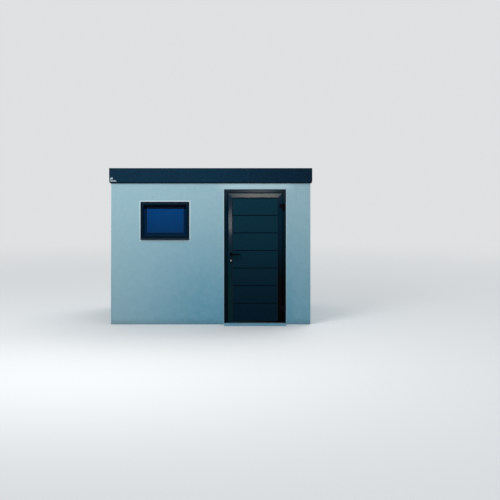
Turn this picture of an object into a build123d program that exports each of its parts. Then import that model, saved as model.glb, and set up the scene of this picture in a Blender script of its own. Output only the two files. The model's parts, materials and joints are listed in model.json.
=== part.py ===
from build123d import *
import os
from math import cos, radians, sin

# Garden shed with rendered walls, a folded sheet roof edge, a window and a panelled door.
# Millimetres. +X runs to the right as the door is faced, +Y into the shed and +Z up.
# The origin is at ground level in the middle of the walls' footprint.

os.makedirs("parts", exist_ok=True)

# Walls and floor
wall_width = 3190.0
wall_depth = 2200.0
wall_thickness = 120.0
overall_height = 2500.0
floor_thickness = 40.0

# Roof between the walls, with its fall to the back, below the top of the walls
parapet_rise = 106.0
roof_thickness = 115.0
roof_fall = 30.0
membrane_thickness = 3.0

# Folded sheet round the roof's edge
sheet = 2.0
fascia_height = 242.0
fascia_stand_off = 25.0
drip_height = 22.0
drip_setback = 6.0
coping_turn_down = 25.0
coping_inner_lap = 30.0

# Rain spout through the back wall
spout_radius = 37.5
spout_wall = 2.5
spout_reach = 60.0
spout_from_side = 420.0
spout_clearance = 0.3
spout_collar_width = 14.0
spout_collar_thickness = 2.0

# Window, measured to the outside of its frame
window_width = 772.0
window_height = 604.0
window_from_left = 475.5
window_sill_level = 1353.0
window_setback = 8.0
window_frame_face = 46.0
window_frame_depth = 70.0
window_sash_face = 42.0
window_frame_chamfer = 4.0
window_sash_setback = 24.0
window_sash_chamfer = 8.0
window_sash_chamfer_depth = 10.0
window_sash_depth = 48.0
glass_setback = 16.0
glass_thickness = 24.0
bead_face = 18.0
window_sill_height = 26.0
window_sill_reach = 22.0
window_sill_nose = 18.2
window_handle_above_middle = 30.0
window_handle_plate_height = 62.0
window_handle_plate = 8.0
window_handle_neck = 6.5
window_handle_reach = 40.0
window_handle_length = 118.0
window_handle_width = 18.0
window_handle_thickness = 10.0
window_handle_edge = 2.5

# Doorway and door step
door_width = 980.0
door_head_level = 2156.0
door_pier = 397.0
step_height = 20.0
step_reach = 160.0
step_chamfer = 3.0

# Door frame
door_setback = 8.0
frame_face = 46.0
frame_edge_chamfer = 4.0
stop_gap = 9.0
stop_depth = 15.0
stop_cover = 16.0
threshold_plate = 2.0
threshold_stop_height = 22.0
seal_thickness = 4.0
seal_width = 8.0

# Door leaf
leaf_thickness = 60.0
lock_side_gap = 9.0
hinge_side_gap = 6.0
head_gap = 6.0
sill_gap = 6.0
stile_width = 74.0
top_rail_height = 78.0
bottom_rail_height = 24.0
bottom_rail_nose = 6.0
bottom_rail_slope = 5.0
stile_land = 12.0
stile_bevel_depth = 10.5
stile_bead = 5.0
stile_edge_radius = 1.8
plank_count = 7
plank_setback = 17.0
plank_thickness = 28.0
plank_chamfer = 5.0
tongue_thickness = 8.0
tongue_height = 8.0
tongue_clearance = 0.3

# Hinges
hinge_from_leaf_top = 176.0
hinge_from_leaf_bottom = 168.0
hinge_leaf_height = 64.0
hinge_frame_height = 45.0
hinge_plate = 4.0
hinge_leaf_width = 40.0
hinge_frame_width = 35.0
knuckle_radius = 9.0
knuckle_stand_off = 14.0
hinge_pin_radius = 4.0
hinge_pin_clearance = 0.1
hinge_end_gap = 0.5
hinge_plate_start = 8.0
hinge_plate_corner = 5.0
hinge_web_gap = 1.0

# Lock and handle
handle_level = 1120.0
handle_setback = 50.0
lock_distance = 92.0
rosette_width = 34.0
rosette_height = 68.0
rosette_thickness = 9.0
rosette_edge = 2.0
neck_radius = 9.0
neck_clearance = 0.1
neck_start = 0.3
neck_length = 24.0
neck_overlap = 4.8
lever_reach = 52.0
lever_length = 150.0
lever_height = 28.0
lever_thickness = 12.0
lever_elbow = 18.0
lever_return = 10.0
lever_edge = 3.0
lever_inner_edge = 1.5
spindle_side = 8.0
spindle_hole_radius = 7.0
cylinder_radius = 8.5
cylinder_web = 10.0
cylinder_height = 33.0
cylinder_proud = 3.0
cylinder_clearance = 0.2
latch_setback = 0.6
faceplate_width = 22.0
faceplate_height = 235.0
faceplate_thickness = 3.0
latch_width = 12.0
latch_height = 24.0
bolt_height = 34.0
strike_slot_clearance = 1.0
strike_width = 26.0
strike_height = 200.0
strike_above_handle = 50.0
strike_thickness = 2.5

# Places worked out from the sizes above
half_width = wall_width / 2
half_depth = wall_depth / 2
inner_half_width = half_width - wall_thickness
inner_half_depth = half_depth - wall_thickness
wall_top = overall_height - 2 * sheet
fascia_bottom = overall_height - fascia_height
deck_top_front = wall_top - parapet_rise
deck_top_back = deck_top_front - roof_fall
ceiling_level = deck_top_front - roof_thickness

window_left = -half_width + window_from_left
window_right = window_left + window_width
window_top = window_sill_level + window_height
window_front = -half_depth + window_setback
window_frame_bottom = window_sill_level + window_sill_height

door_right = half_width - door_pier
door_left = door_right - door_width
frame_front = -half_depth + door_setback
stop_front = frame_front + leaf_thickness + stop_gap
frame_back = stop_front + stop_depth

leaf_left = door_left + frame_face + lock_side_gap
leaf_right = door_right - frame_face - hinge_side_gap
leaf_top = door_head_level - frame_face - head_gap
leaf_bottom = step_height + threshold_plate + sill_gap
leaf_back = frame_front + leaf_thickness
field_left = leaf_left + stile_width
field_right = leaf_right - stile_width
field_top = leaf_top - top_rail_height
field_bottom = leaf_bottom + bottom_rail_height
plank_pitch = (field_top - field_bottom) / plank_count

hinge_x = leaf_right + hinge_side_gap / 2
hinge_y = frame_front - knuckle_stand_off
handle_x = leaf_left + handle_setback
lock_level = handle_level - lock_distance
lock_middle = lock_level + cylinder_radius - cylinder_height / 2


def save(piece, name):
    """Label a finished piece and write its file."""
    piece.part.label = name
    export_step(piece.part, f"parts/{name}.step")


def box_between(low, high, mode=Mode.ADD):
    """Add or cut a box given by its lowest and highest corners."""
    size = [top - bottom for bottom, top in zip(low, high)]
    middle = [(top + bottom) / 2 for bottom, top in zip(low, high)]
    with Locations(tuple(middle)):
        Box(*size, mode=mode)


# Walls
with BuildPart() as front_wall_left:
    box_between((-half_width, -half_depth, 0), (door_left, -inner_half_depth, wall_top))
    box_between(
        (window_left, -half_depth, window_sill_level),
        (window_right, -inner_half_depth, window_top),
        Mode.SUBTRACT,
    )
save(front_wall_left, "front_wall_left")

with BuildPart() as front_wall_right:
    box_between((door_right, -half_depth, 0), (half_width, -inner_half_depth, wall_top))
save(front_wall_right, "front_wall_right")

with BuildPart() as front_wall_over_door:
    box_between(
        (door_left, -half_depth, door_head_level),
        (door_right, -inner_half_depth, wall_top),
    )
save(front_wall_over_door, "front_wall_over_door")

with BuildPart() as left_wall:
    box_between(
        (-half_width, -inner_half_depth, 0),
        (-inner_half_width, inner_half_depth, wall_top),
    )
save(left_wall, "left_wall")

with BuildPart() as right_wall:
    box_between(
        (inner_half_width, -inner_half_depth, 0),
        (half_width, inner_half_depth, wall_top),
    )
save(right_wall, "right_wall")

spout_x = half_width - spout_from_side
spout_level = deck_top_back + membrane_thickness + spout_radius

with BuildPart() as back_wall:
    box_between((-half_width, inner_half_depth, 0), (half_width, half_depth, wall_top))
    with Locations(Location((spout_x, (half_depth + inner_half_depth) / 2, spout_level), (90, 0, 0))):
        Cylinder(spout_radius + spout_clearance, wall_thickness, mode=Mode.SUBTRACT)
save(back_wall, "back_wall")

# Floor, with a tongue through the doorway up to the door frame
with BuildPart() as floor_slab:
    box_between(
        (-inner_half_width, -inner_half_depth, 0),
        (inner_half_width, inner_half_depth, floor_thickness),
    )
    box_between((door_left, frame_back, 0), (door_right, -inner_half_depth, floor_thickness))
save(floor_slab, "floor_slab")

with BuildPart() as door_step:
    box_between((door_left, -half_depth - step_reach, 0), (door_right, frame_back, step_height))
    chamfer(door_step.edges().filter_by(Axis.X).group_by(Axis.Y)[0].sort_by(Axis.Z)[-1], length=step_chamfer)
save(door_step, "door_step")

# Roof deck and its membrane, a tray whose sides turn up the inside of the walls
with BuildPart() as roof_deck:
    with BuildSketch(Plane.YZ.offset(-inner_half_width)):
        with BuildLine():
            Polyline(
                (-inner_half_depth, ceiling_level),
                (inner_half_depth, ceiling_level),
                (inner_half_depth, deck_top_back),
                (-inner_half_depth, deck_top_front),
                close=True,
            )
        make_face()
    extrude(amount=2 * inner_half_width)
save(roof_deck, "roof_deck")


def tray_section(inset, lift):
    """Corners of the space over the deck, drawn in by inset and raised by lift."""
    return (
        (-inner_half_depth + inset, deck_top_front + lift),
        (inner_half_depth - inset, deck_top_back + lift),
        (inner_half_depth - inset, wall_top),
        (-inner_half_depth + inset, wall_top),
    )


with BuildPart() as roof_membrane:
    with BuildSketch(Plane.YZ.offset(-inner_half_width)):
        with BuildLine():
            Polyline(*tray_section(0, 0), close=True)
        make_face()
    extrude(amount=2 * inner_half_width)
    with BuildSketch(Plane.YZ.offset(-inner_half_width + membrane_thickness)):
        with BuildLine():
            Polyline(*tray_section(membrane_thickness, membrane_thickness), close=True)
        make_face()
    extrude(amount=2 * (inner_half_width - membrane_thickness), mode=Mode.SUBTRACT)
    with Locations(Location((spout_x, inner_half_depth - membrane_thickness / 2, spout_level), (90, 0, 0))):
        Cylinder(spout_radius + spout_clearance, membrane_thickness, mode=Mode.SUBTRACT)
save(roof_membrane, "roof_membrane")

spout_inner_end = inner_half_depth - membrane_thickness
spout_outer_end = half_depth + fascia_stand_off + spout_reach
with BuildPart() as rain_spout:
    with Locations(Location((spout_x, (spout_inner_end + spout_outer_end) / 2, spout_level), (90, 0, 0))):
        Cylinder(spout_radius, spout_outer_end - spout_inner_end)
    collar_middle = half_depth + fascia_stand_off + spout_collar_thickness / 2
    with Locations(Location((spout_x, collar_middle, spout_level), (90, 0, 0))):
        Cylinder(spout_radius + spout_collar_width, spout_collar_thickness)
    with Locations(Location((spout_x, (spout_inner_end + spout_outer_end) / 2, spout_level), (90, 0, 0))):
        Cylinder(spout_radius - spout_wall, spout_outer_end - spout_inner_end, mode=Mode.SUBTRACT)
save(rain_spout, "rain_spout")

# Roof edge, given as the sheet's inner face: distance out of the wall's face, then height
fascia_line = (
    (-wall_thickness, wall_top),
    (fascia_stand_off - sheet, wall_top),
    (fascia_stand_off - sheet, fascia_bottom + drip_height),
    (fascia_stand_off - sheet - drip_setback, fascia_bottom + drip_height),
    (fascia_stand_off - sheet - drip_setback, fascia_bottom + sheet),
    (0, fascia_bottom + sheet),
)
coping_line = (
    (-wall_thickness - membrane_thickness, wall_top - coping_inner_lap),
    (-wall_thickness - membrane_thickness, wall_top + sheet),
    (fascia_stand_off, wall_top + sheet),
    (fascia_stand_off, overall_height - coping_turn_down),
)
side_angles = {"front": -90, "right": 0, "back": 90, "left": 180}


def roof_edge(line, side):
    """Fold the sheet along one side of the roof and mitre both of its ends."""
    angle = radians(side_angles[side])
    outward = Vector(cos(angle), sin(angle), 0)
    along = Vector(sin(angle), -cos(angle), 0)
    to_face, half_run = (half_depth, half_width) if side in ("front", "back") else (half_width, half_depth)
    with BuildPart() as run:
        with BuildSketch(Plane(origin=outward * to_face, x_dir=outward, z_dir=along)):
            with BuildLine():
                Polyline(*line)
                offset(amount=sheet, side=Side.LEFT, kind=Kind.INTERSECTION)
            make_face()
        extrude(amount=half_run + 2 * fascia_stand_off, both=True)
        for end in (-1, 1):
            corner = outward * to_face + along * (end * half_run)
            split(bisect_by=Plane(origin=corner, z_dir=along * end - outward), keep=Keep.BOTTOM)
    return run.part


for line, kind in ((fascia_line, "fascia"), (coping_line, "coping")):
    with BuildPart() as front_edge:
        add(roof_edge(line, "front"))
    save(front_edge, f"{kind}_front")

    with BuildPart() as back_edge:
        add(roof_edge(line, "back"))
        if kind == "fascia":
            with Locations(Location((spout_x, half_depth, spout_level), (90, 0, 0))):
                Cylinder(spout_radius + spout_clearance, 4 * fascia_stand_off, mode=Mode.SUBTRACT)
    save(back_edge, f"{kind}_back")

    with BuildPart() as side_edges:
        add(roof_edge(line, "left"))
        add(roof_edge(line, "right"))
    save(side_edges, f"{kind}_sides")


# Window
def window_ring(inset, face, bottom, front, depth):
    """Add a rectangular ring: inset from the window's outside, face wide, standing on bottom."""
    low = (window_left + inset, front, bottom + inset)
    high = (window_right - inset, front + depth, window_top - inset)
    box_between(low, high)
    box_between(
        (low[0] + face, low[1], low[2] + face),
        (high[0] - face, high[1], high[2] - face),
        Mode.SUBTRACT,
    )


with BuildPart() as window_frame:
    window_ring(0, window_frame_face, window_frame_bottom, window_front, window_frame_depth)
    front_face = window_frame.faces().sort_by(Axis.Y)[0]
    chamfer(front_face.inner_wires().edges(), length=window_frame_chamfer)
save(window_frame, "window_frame")

sash_front = window_front + window_sash_setback
with BuildPart() as window_sash:
    window_ring(window_frame_face, window_sash_face, window_frame_bottom, sash_front, window_sash_depth)
    rebate = window_frame_face + window_sash_face - bead_face
    box_between(
        (window_left + rebate, sash_front + glass_setback, window_frame_bottom + rebate),
        (window_right - rebate, sash_front + window_sash_depth, window_top - rebate),
        Mode.SUBTRACT,
    )
    front_face = window_sash.faces().sort_by(Axis.Y)[0]
    chamfer(
        front_face.inner_wires().edges(),
        length=window_sash_chamfer,
        length2=window_sash_chamfer_depth,
    )
    # The handle inside, on the stile beside the glass and turned down as when the window is shut
    sash_back = sash_front + window_sash_depth
    stile_strip = window_sash_face - bead_face
    sash_handle_x = window_right - window_frame_face - stile_strip / 2
    sash_handle_level = (window_frame_bottom + window_top) / 2 + window_handle_above_middle
    with BuildSketch(Plane.XZ.offset(-sash_back).shift_origin((sash_handle_x, sash_back, sash_handle_level))):
        SlotOverall(window_handle_plate_height, stile_strip, rotation=90)
    extrude(amount=-window_handle_plate)
    with BuildSketch(Plane.XZ.offset(-sash_back).shift_origin((sash_handle_x, sash_back, sash_handle_level))):
        Circle(window_handle_neck)
    extrude(amount=-window_handle_reach)
    grip_front = sash_back + window_handle_reach - window_handle_thickness
    grip_middle = sash_handle_level - (window_handle_length - window_handle_width) / 2
    with BuildSketch(Plane.XZ.offset(-grip_front).shift_origin((sash_handle_x, grip_front, grip_middle))):
        SlotOverall(window_handle_length, window_handle_width, rotation=90)
    extrude(amount=-window_handle_thickness)
    chamfer(window_sash.faces().sort_by(Axis.Y)[-1].edges(), length=window_handle_edge)
save(window_sash, "window_sash")

glass_back = sash_front + glass_setback + glass_thickness
with BuildPart() as window_glass:
    box_between(
        (window_left + rebate, sash_front + glass_setback, window_frame_bottom + rebate),
        (window_right - rebate, glass_back, window_top - rebate),
    )
save(window_glass, "window_glass")

bead_depth = sash_back - glass_back
with BuildPart() as window_bead:
    window_ring(rebate, bead_face, window_frame_bottom, glass_back, bead_depth)
save(window_bead, "window_bead")

with BuildPart() as window_sill:
    with BuildSketch(Plane.YZ.offset(window_left)):
        with BuildLine():
            Polyline(
                (window_front + window_frame_depth, window_sill_level),
                (-half_depth - window_sill_reach, window_sill_level),
                (-half_depth - window_sill_reach, window_sill_level + window_sill_nose),
                (window_front, window_frame_bottom),
                (window_front + window_frame_depth, window_frame_bottom),
                close=True,
            )
        make_face()
    extrude(amount=window_width)
save(window_sill, "window_sill")


# Door frame
def jamb_section(outer, side):
    """Corners of a jamb in plan; side is 1 where the opening lies towards +X."""
    return (
        (outer, frame_front),
        (outer + side * (frame_face - frame_edge_chamfer), frame_front),
        (outer + side * frame_face, frame_front + frame_edge_chamfer),
        (outer + side * frame_face, stop_front),
        (outer + side * (frame_face + stop_cover), stop_front),
        (outer + side * (frame_face + stop_cover), frame_back),
        (outer, frame_back),
    )


strike_y = frame_front + leaf_thickness / 2
strike_top = handle_level + strike_above_handle
strike_front = strike_y - strike_width / 2
strike_low = (door_left + frame_face - strike_thickness, strike_front, strike_top - strike_height)
strike_high = (door_left + frame_face, strike_y + strike_width / 2, strike_top)


def door_jamb(outer, side, name):
    """Make a jamb that stands on the step and is mitred under the head."""
    with BuildPart() as jamb:
        with BuildSketch(Plane.XY.offset(step_height)):
            with BuildLine():
                Polyline(*jamb_section(outer, side), close=True)
            make_face()
        extrude(amount=door_head_level - step_height)
        split(bisect_by=Plane(origin=(outer, 0, door_head_level), z_dir=(side, 0, 1)), keep=Keep.BOTTOM)
        if side > 0:
            box_between(strike_low, strike_high, Mode.SUBTRACT)
    save(jamb, name)


door_jamb(door_left, 1, "door_jamb_left")
door_jamb(door_right, -1, "door_jamb_right")

with BuildPart() as door_head:
    with BuildSketch(Plane.YZ.offset(door_left)):
        with BuildLine():
            Polyline(*((y, door_head_level - x) for x, y in jamb_section(0, 1)), close=True)
        make_face()
    extrude(amount=door_width)
    for outer, side in ((door_left, 1), (door_right, -1)):
        split(bisect_by=Plane(origin=(outer, 0, door_head_level), z_dir=(side, 0, 1)), keep=Keep.TOP)
save(door_head, "door_head")

with BuildPart() as door_threshold:
    opening_left = door_left + frame_face
    opening_right = door_right - frame_face
    threshold_top = step_height + threshold_plate
    box_between((opening_left, frame_front, step_height), (opening_right, stop_front, threshold_top))
    box_between(
        (opening_left + stop_cover, stop_front, step_height),
        (opening_right - stop_cover, frame_back, threshold_top + threshold_stop_height),
    )
save(door_threshold, "door_threshold")

with BuildPart() as strike_plate:
    box_between(strike_low, strike_high)
    slot_width = latch_width + 2 * strike_slot_clearance
    for level, height in ((handle_level, latch_height), (lock_middle, bolt_height)):
        with Locations(((strike_low[0] + strike_high[0]) / 2, strike_y, level)):
            Box(strike_thickness, slot_width, height + 2 * strike_slot_clearance, mode=Mode.SUBTRACT)
save(strike_plate, "strike_plate")

# Seal along the stops, with room left for the leaf
with BuildPart() as door_seal:
    seal_inset = frame_face + stop_cover - seal_width
    seal_top = door_head_level - seal_inset
    with BuildSketch(Plane.XZ.offset(-stop_front)):
        with BuildLine():
            Polyline(
                (door_left + seal_inset, threshold_top),
                (door_left + seal_inset, seal_top),
                (door_right - seal_inset, seal_top),
                (door_right - seal_inset, threshold_top),
            )
            offset(amount=seal_width, side=Side.RIGHT, kind=Kind.INTERSECTION)
        make_face()
    extrude(amount=seal_thickness)
save(door_seal, "door_seal")


# Door leaf
def leaf_section(width):
    """Corners of a stile or rail: across from the leaf's edge, then back from its front."""
    return (
        (0, 0),
        (stile_land, 0),
        (width - stile_bead, stile_bevel_depth),
        (width, stile_bevel_depth + stile_bead),
        (width, leaf_thickness - stile_bead),
        (width - stile_bead, leaf_thickness),
        (0, leaf_thickness),
    )


def lock_outline(clearance):
    """Draw the lock cylinder's outline, round above and narrow below, with a clearance."""
    Circle(cylinder_radius + clearance)
    stem = cylinder_height - cylinder_radius - cylinder_web / 2
    with Locations((0, -stem / 2)):
        Rectangle(cylinder_web + 2 * clearance, stem)
    with Locations((0, -stem)):
        Circle(cylinder_web / 2 + clearance)


def leaf_stile(edge, side, name):
    """Make a stile, mitred at the top; side is 1 where the panels lie towards +X."""
    plan = leaf_section(stile_width)
    with BuildPart() as stile:
        with BuildSketch(Plane.XY.offset(leaf_bottom)) as section:
            with BuildLine():
                Polyline(*((edge + side * across, frame_front + back) for across, back in plan), close=True)
            make_face()
            corners = section.vertices().sort_by(Axis.X, reverse=side < 0)
            fillet(corners[3:], radius=stile_edge_radius)
        extrude(amount=leaf_top - leaf_bottom)
        split(
            bisect_by=Plane(origin=(edge, 0, leaf_top), z_dir=(side * top_rail_height, 0, stile_width)),
            keep=Keep.BOTTOM,
        )
        if side > 0:
            box_between(faceplate_low, faceplate_high, Mode.SUBTRACT)
            with Locations(Location((handle_x, frame_front + leaf_thickness / 2, handle_level), (90, 0, 0))):
                Cylinder(spindle_hole_radius, leaf_thickness, mode=Mode.SUBTRACT)
            with BuildSketch(Plane.XZ.offset(-frame_front).shift_origin((handle_x, frame_front, lock_level))):
                lock_outline(cylinder_clearance)
            extrude(amount=-leaf_thickness, mode=Mode.SUBTRACT)
    save(stile, name)
    return stile.part


faceplate_middle = (handle_level + lock_level) / 2
faceplate_y = frame_front + leaf_thickness / 2
faceplate_low = (leaf_left, faceplate_y - faceplate_width / 2, faceplate_middle - faceplate_height / 2)
faceplate_high = (
    leaf_left + faceplate_thickness,
    faceplate_y + faceplate_width / 2,
    faceplate_middle + faceplate_height / 2,
)
left_stile = leaf_stile(leaf_left, 1, "leaf_stile_left")
right_stile = leaf_stile(leaf_right, -1, "leaf_stile_right")

with BuildPart() as leaf_top_rail:
    with BuildSketch(Plane.YZ.offset(leaf_left)) as section:
        with BuildLine():
            Polyline(
                *((frame_front + back, leaf_top - down) for down, back in leaf_section(top_rail_height)),
                close=True,
            )
        make_face()
        fillet(section.vertices().sort_by(Axis.Z)[:-3], radius=stile_edge_radius)
    extrude(amount=leaf_right - leaf_left)
    for edge, side in ((leaf_left, 1), (leaf_right, -1)):
        split(
            bisect_by=Plane(origin=(edge, 0, leaf_top), z_dir=(side * top_rail_height, 0, stile_width)),
            keep=Keep.TOP,
        )
save(leaf_top_rail, "leaf_top_rail")

plank_front = frame_front + plank_setback
plank_back = plank_front + plank_thickness
rail_front = frame_front + stile_bevel_depth
with BuildPart() as leaf_bottom_rail:
    with BuildSketch(Plane.YZ.offset(field_left)):
        with BuildLine():
            Polyline(
                (rail_front, leaf_bottom),
                (rail_front, leaf_bottom + bottom_rail_nose),
                (rail_front + bottom_rail_slope, field_bottom),
                (leaf_back - stile_bead, field_bottom),
                (leaf_back - stile_bead, leaf_bottom),
                close=True,
            )
        make_face()
    extrude(amount=field_right - field_left)
save(leaf_bottom_rail, "leaf_bottom_rail")


def door_plank(number):
    """Make one plank, counted from the top, with a tongue above and a groove below."""
    top = field_top - (number - 1) * plank_pitch
    bottom = top - plank_pitch
    middle = (plank_front + plank_back) / 2
    with BuildPart() as plank:
        box_between((field_left, plank_front, bottom), (field_right, plank_back, top))
        chamfer(plank.edges().filter_by(Axis.X).group_by(Axis.Y)[0], length=plank_chamfer)
        if number > 1:
            box_between(
                (field_left, middle - tongue_thickness / 2, top),
                (field_right, middle + tongue_thickness / 2, top + tongue_height),
            )
        if number < plank_count:
            half_groove = tongue_thickness / 2 + tongue_clearance
            box_between(
                (field_left, middle - half_groove, bottom),
                (field_right, middle + half_groove, bottom + tongue_height + tongue_clearance),
                Mode.SUBTRACT,
            )
    save(plank, f"door_plank_{number}")


for number in range(1, plank_count + 1):
    door_plank(number)

# Hinges: the frame's half carries the pin, the leaf's half turns on it
hinge_bases = (
    leaf_bottom + hinge_from_leaf_bottom,
    leaf_top - hinge_from_leaf_top - hinge_leaf_height - hinge_frame_height,
)
knuckle_web = knuckle_stand_off - hinge_pin_radius - hinge_web_gap


def hinge_plate_between(start, reach, bottom, top, packing=0.0):
    """Add a plate on the door's face from start along X by reach, with its far corners rounded."""
    thickness = hinge_plate + packing
    middle = (start + reach / 2, frame_front + packing - thickness / 2, (bottom + top) / 2)
    with Locations(middle):
        plate = Box(abs(reach), thickness, top - bottom, mode=Mode.PRIVATE)
    far_edges = plate.edges().filter_by(Axis.Y).sort_by(Axis.X, reverse=reach > 0)[:2]
    add(plate.fillet(hinge_plate_corner, far_edges))


with BuildPart() as hinge_brackets:
    for base in hinge_bases:
        top = base + hinge_frame_height
        plate_left = hinge_x + hinge_plate_start
        hinge_plate_between(plate_left, hinge_frame_width, base, top + hinge_leaf_height)
        box_between(
            (hinge_x, frame_front - knuckle_web, base),
            (plate_left, frame_front, top - hinge_end_gap),
        )
        with Locations((hinge_x, hinge_y, base)):
            Cylinder(
                knuckle_radius,
                hinge_frame_height - hinge_end_gap,
                align=(Align.CENTER, Align.CENTER, Align.MIN),
            )
            Cylinder(
                hinge_pin_radius,
                hinge_frame_height + hinge_leaf_height,
                align=(Align.CENTER, Align.CENTER, Align.MIN),
            )
save(hinge_brackets, "hinge_brackets")

# The leaf's plates are packed out behind, down to the stile's bevel
with BuildPart() as hinge_leaves:
    for base in hinge_bases:
        bottom = base + hinge_frame_height
        top = bottom + hinge_leaf_height
        plate_right = hinge_x - hinge_plate_start
        hinge_plate_between(plate_right, -hinge_leaf_width, bottom, top, stile_bevel_depth)
        box_between(
            (plate_right, frame_front - knuckle_web, bottom),
            (hinge_x, frame_front, bottom + hinge_leaf_height),
        )
        with Locations((hinge_x, hinge_y, bottom)):
            Cylinder(knuckle_radius, hinge_leaf_height, align=(Align.CENTER, Align.CENTER, Align.MIN))
            Cylinder(
                hinge_pin_radius + hinge_pin_clearance,
                hinge_leaf_height,
                align=(Align.CENTER, Align.CENTER, Align.MIN),
                mode=Mode.SUBTRACT,
            )
    add(right_stile, mode=Mode.SUBTRACT)
save(hinge_leaves, "hinge_leaves")

# Oval plates round the handle's neck and the lock, inside and outside; the outer ones are
# packed out behind, down to the stile's bevel
with BuildPart() as handle_plates:
    outer_thickness = rosette_thickness + stile_bevel_depth
    for face, outward, thickness in (
        (frame_front + stile_bevel_depth, -1, outer_thickness),
        (leaf_back, 1, rosette_thickness),
    ):
        for level in (handle_level, lock_middle):
            with BuildSketch(Plane.XZ.offset(-face).shift_origin((handle_x, face, level))):
                SlotOverall(rosette_height, rosette_width, rotation=90)
            extrude(amount=-outward * thickness)
        outer_faces = handle_plates.faces().filter_by(Axis.Y).sort_by(Axis.Y)
        rims = outer_faces[:2] if outward < 0 else outer_faces[-2:]
        chamfer(rims.edges(), length=rosette_edge)
        with BuildSketch(Plane.XZ.offset(-face).shift_origin((handle_x, face, handle_level))):
            Circle(neck_radius + neck_clearance)
        extrude(amount=-outward * thickness, mode=Mode.SUBTRACT)
        with BuildSketch(Plane.XZ.offset(-face).shift_origin((handle_x, face, lock_level))):
            lock_outline(cylinder_clearance)
        extrude(amount=-outward * thickness, mode=Mode.SUBTRACT)
    add(left_stile, mode=Mode.SUBTRACT)
save(handle_plates, "handle_plates")

with BuildPart() as lock_cylinder:
    lock_front = frame_front - rosette_thickness - cylinder_proud
    with BuildSketch(Plane.XZ.offset(-lock_front).shift_origin((handle_x, lock_front, lock_level))):
        lock_outline(0)
    extrude(amount=-(leaf_thickness + 2 * (rosette_thickness + cylinder_proud)))
save(lock_cylinder, "lock_cylinder")

# The edge plate shows the ends of latch and bolt, drawn back a little from its face
with BuildPart() as lock_faceplate:
    box_between(faceplate_low, faceplate_high)
    for level, height in ((handle_level, latch_height), (lock_middle, bolt_height)):
        box_between(
            (leaf_left, faceplate_y - latch_width / 2, level - height / 2),
            (leaf_left + latch_setback, faceplate_y + latch_width / 2, level + height / 2),
            Mode.SUBTRACT,
        )
save(lock_faceplate, "lock_faceplate")


def lever_rims(lever, wanted):
    """Choose edges of the levers' flat faces by how far their middles stand off the door."""
    door_middle = frame_front + leaf_thickness / 2
    rims = lever.faces().filter_by(Axis.Z).edges()
    return rims.filter_by(lambda rim: wanted(abs(rim.center().Y - door_middle) - leaf_thickness / 2))


# Both levers on their spindle: round necks, elbows and flat grips that point to +X, rounded
# outside and bevelled where they face the door
with BuildPart() as door_lever:
    for face, outward in ((frame_front, -1), (leaf_back, 1)):
        far = face + outward * lever_reach
        neck_end = face + outward * neck_start
        with BuildSketch(Plane.XZ.offset(-neck_end).shift_origin((handle_x, neck_end, handle_level))):
            Circle(neck_radius)
        extrude(amount=-outward * neck_length)
        with BuildSketch(Plane.XY.offset(handle_level - lever_height / 2)):
            with BuildLine():
                FilletPolyline(
                    (handle_x, face + outward * (neck_length - neck_overlap)),
                    (handle_x, far),
                    (handle_x + lever_length - 2 * lever_return, far),
                    (handle_x + lever_length, far - outward * lever_return),
                    radius=lever_elbow,
                )
            trace(line_width=lever_thickness)
        extrude(amount=lever_height)
    outer_rims = lever_rims(door_lever, lambda away: away > lever_reach - lever_thickness / 3)
    fillet(outer_rims, radius=lever_edge)
    inner_rims = lever_rims(door_lever, lambda away: away < lever_reach - lever_thickness / 3)
    beside_neck = inner_rims.filter_by(lambda rim: rim.center().X > handle_x + neck_radius)
    chamfer(beside_neck, length=lever_inner_edge)
    box_between(
        (handle_x - spindle_side / 2, frame_front - neck_start, handle_level - spindle_side / 2),
        (handle_x + spindle_side / 2, leaf_back + neck_start, handle_level + spindle_side / 2),
    )
save(door_lever, "door_lever")
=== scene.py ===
"""Dress the garden shed: finishes for its solids, its small fittings, the studio and the camera.

Everything is in metres. +X runs to the right as the door is faced, +Y into the shed and +Z up.
"""

from __future__ import annotations

import json
import logging
from abc import ABC, abstractmethod
from collections.abc import Iterable, Mapping, Sequence
from dataclasses import dataclass, field, replace
from enum import Enum
from functools import reduce
from math import pi, radians
from typing import Any, ClassVar, Union

import bpy
import numpy as np
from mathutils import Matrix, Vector

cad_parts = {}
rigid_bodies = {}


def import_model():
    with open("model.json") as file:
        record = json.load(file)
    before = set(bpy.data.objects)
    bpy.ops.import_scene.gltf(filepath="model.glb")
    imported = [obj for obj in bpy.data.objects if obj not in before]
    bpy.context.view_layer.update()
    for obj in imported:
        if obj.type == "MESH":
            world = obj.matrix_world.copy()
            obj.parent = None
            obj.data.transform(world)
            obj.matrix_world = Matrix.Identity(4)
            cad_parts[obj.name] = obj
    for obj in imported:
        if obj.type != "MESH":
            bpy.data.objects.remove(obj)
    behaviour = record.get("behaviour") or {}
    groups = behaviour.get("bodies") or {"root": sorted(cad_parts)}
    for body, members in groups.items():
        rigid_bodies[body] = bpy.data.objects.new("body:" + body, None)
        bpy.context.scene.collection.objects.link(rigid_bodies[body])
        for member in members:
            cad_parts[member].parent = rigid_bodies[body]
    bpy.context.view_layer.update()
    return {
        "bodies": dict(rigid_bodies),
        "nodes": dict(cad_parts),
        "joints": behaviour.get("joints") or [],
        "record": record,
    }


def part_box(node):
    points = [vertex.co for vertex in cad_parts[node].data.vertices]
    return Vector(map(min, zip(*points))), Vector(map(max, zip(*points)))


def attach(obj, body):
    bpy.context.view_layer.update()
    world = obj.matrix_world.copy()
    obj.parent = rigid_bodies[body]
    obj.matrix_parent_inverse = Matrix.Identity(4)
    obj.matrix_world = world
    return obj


Colour = tuple[float, float, float]
Corner = Sequence[float]
Profile = Sequence[tuple[float, float]]
Array = np.ndarray
Material = bpy.types.Material
Socket = bpy.types.NodeSocket

log = logging.getLogger("shed")


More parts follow.
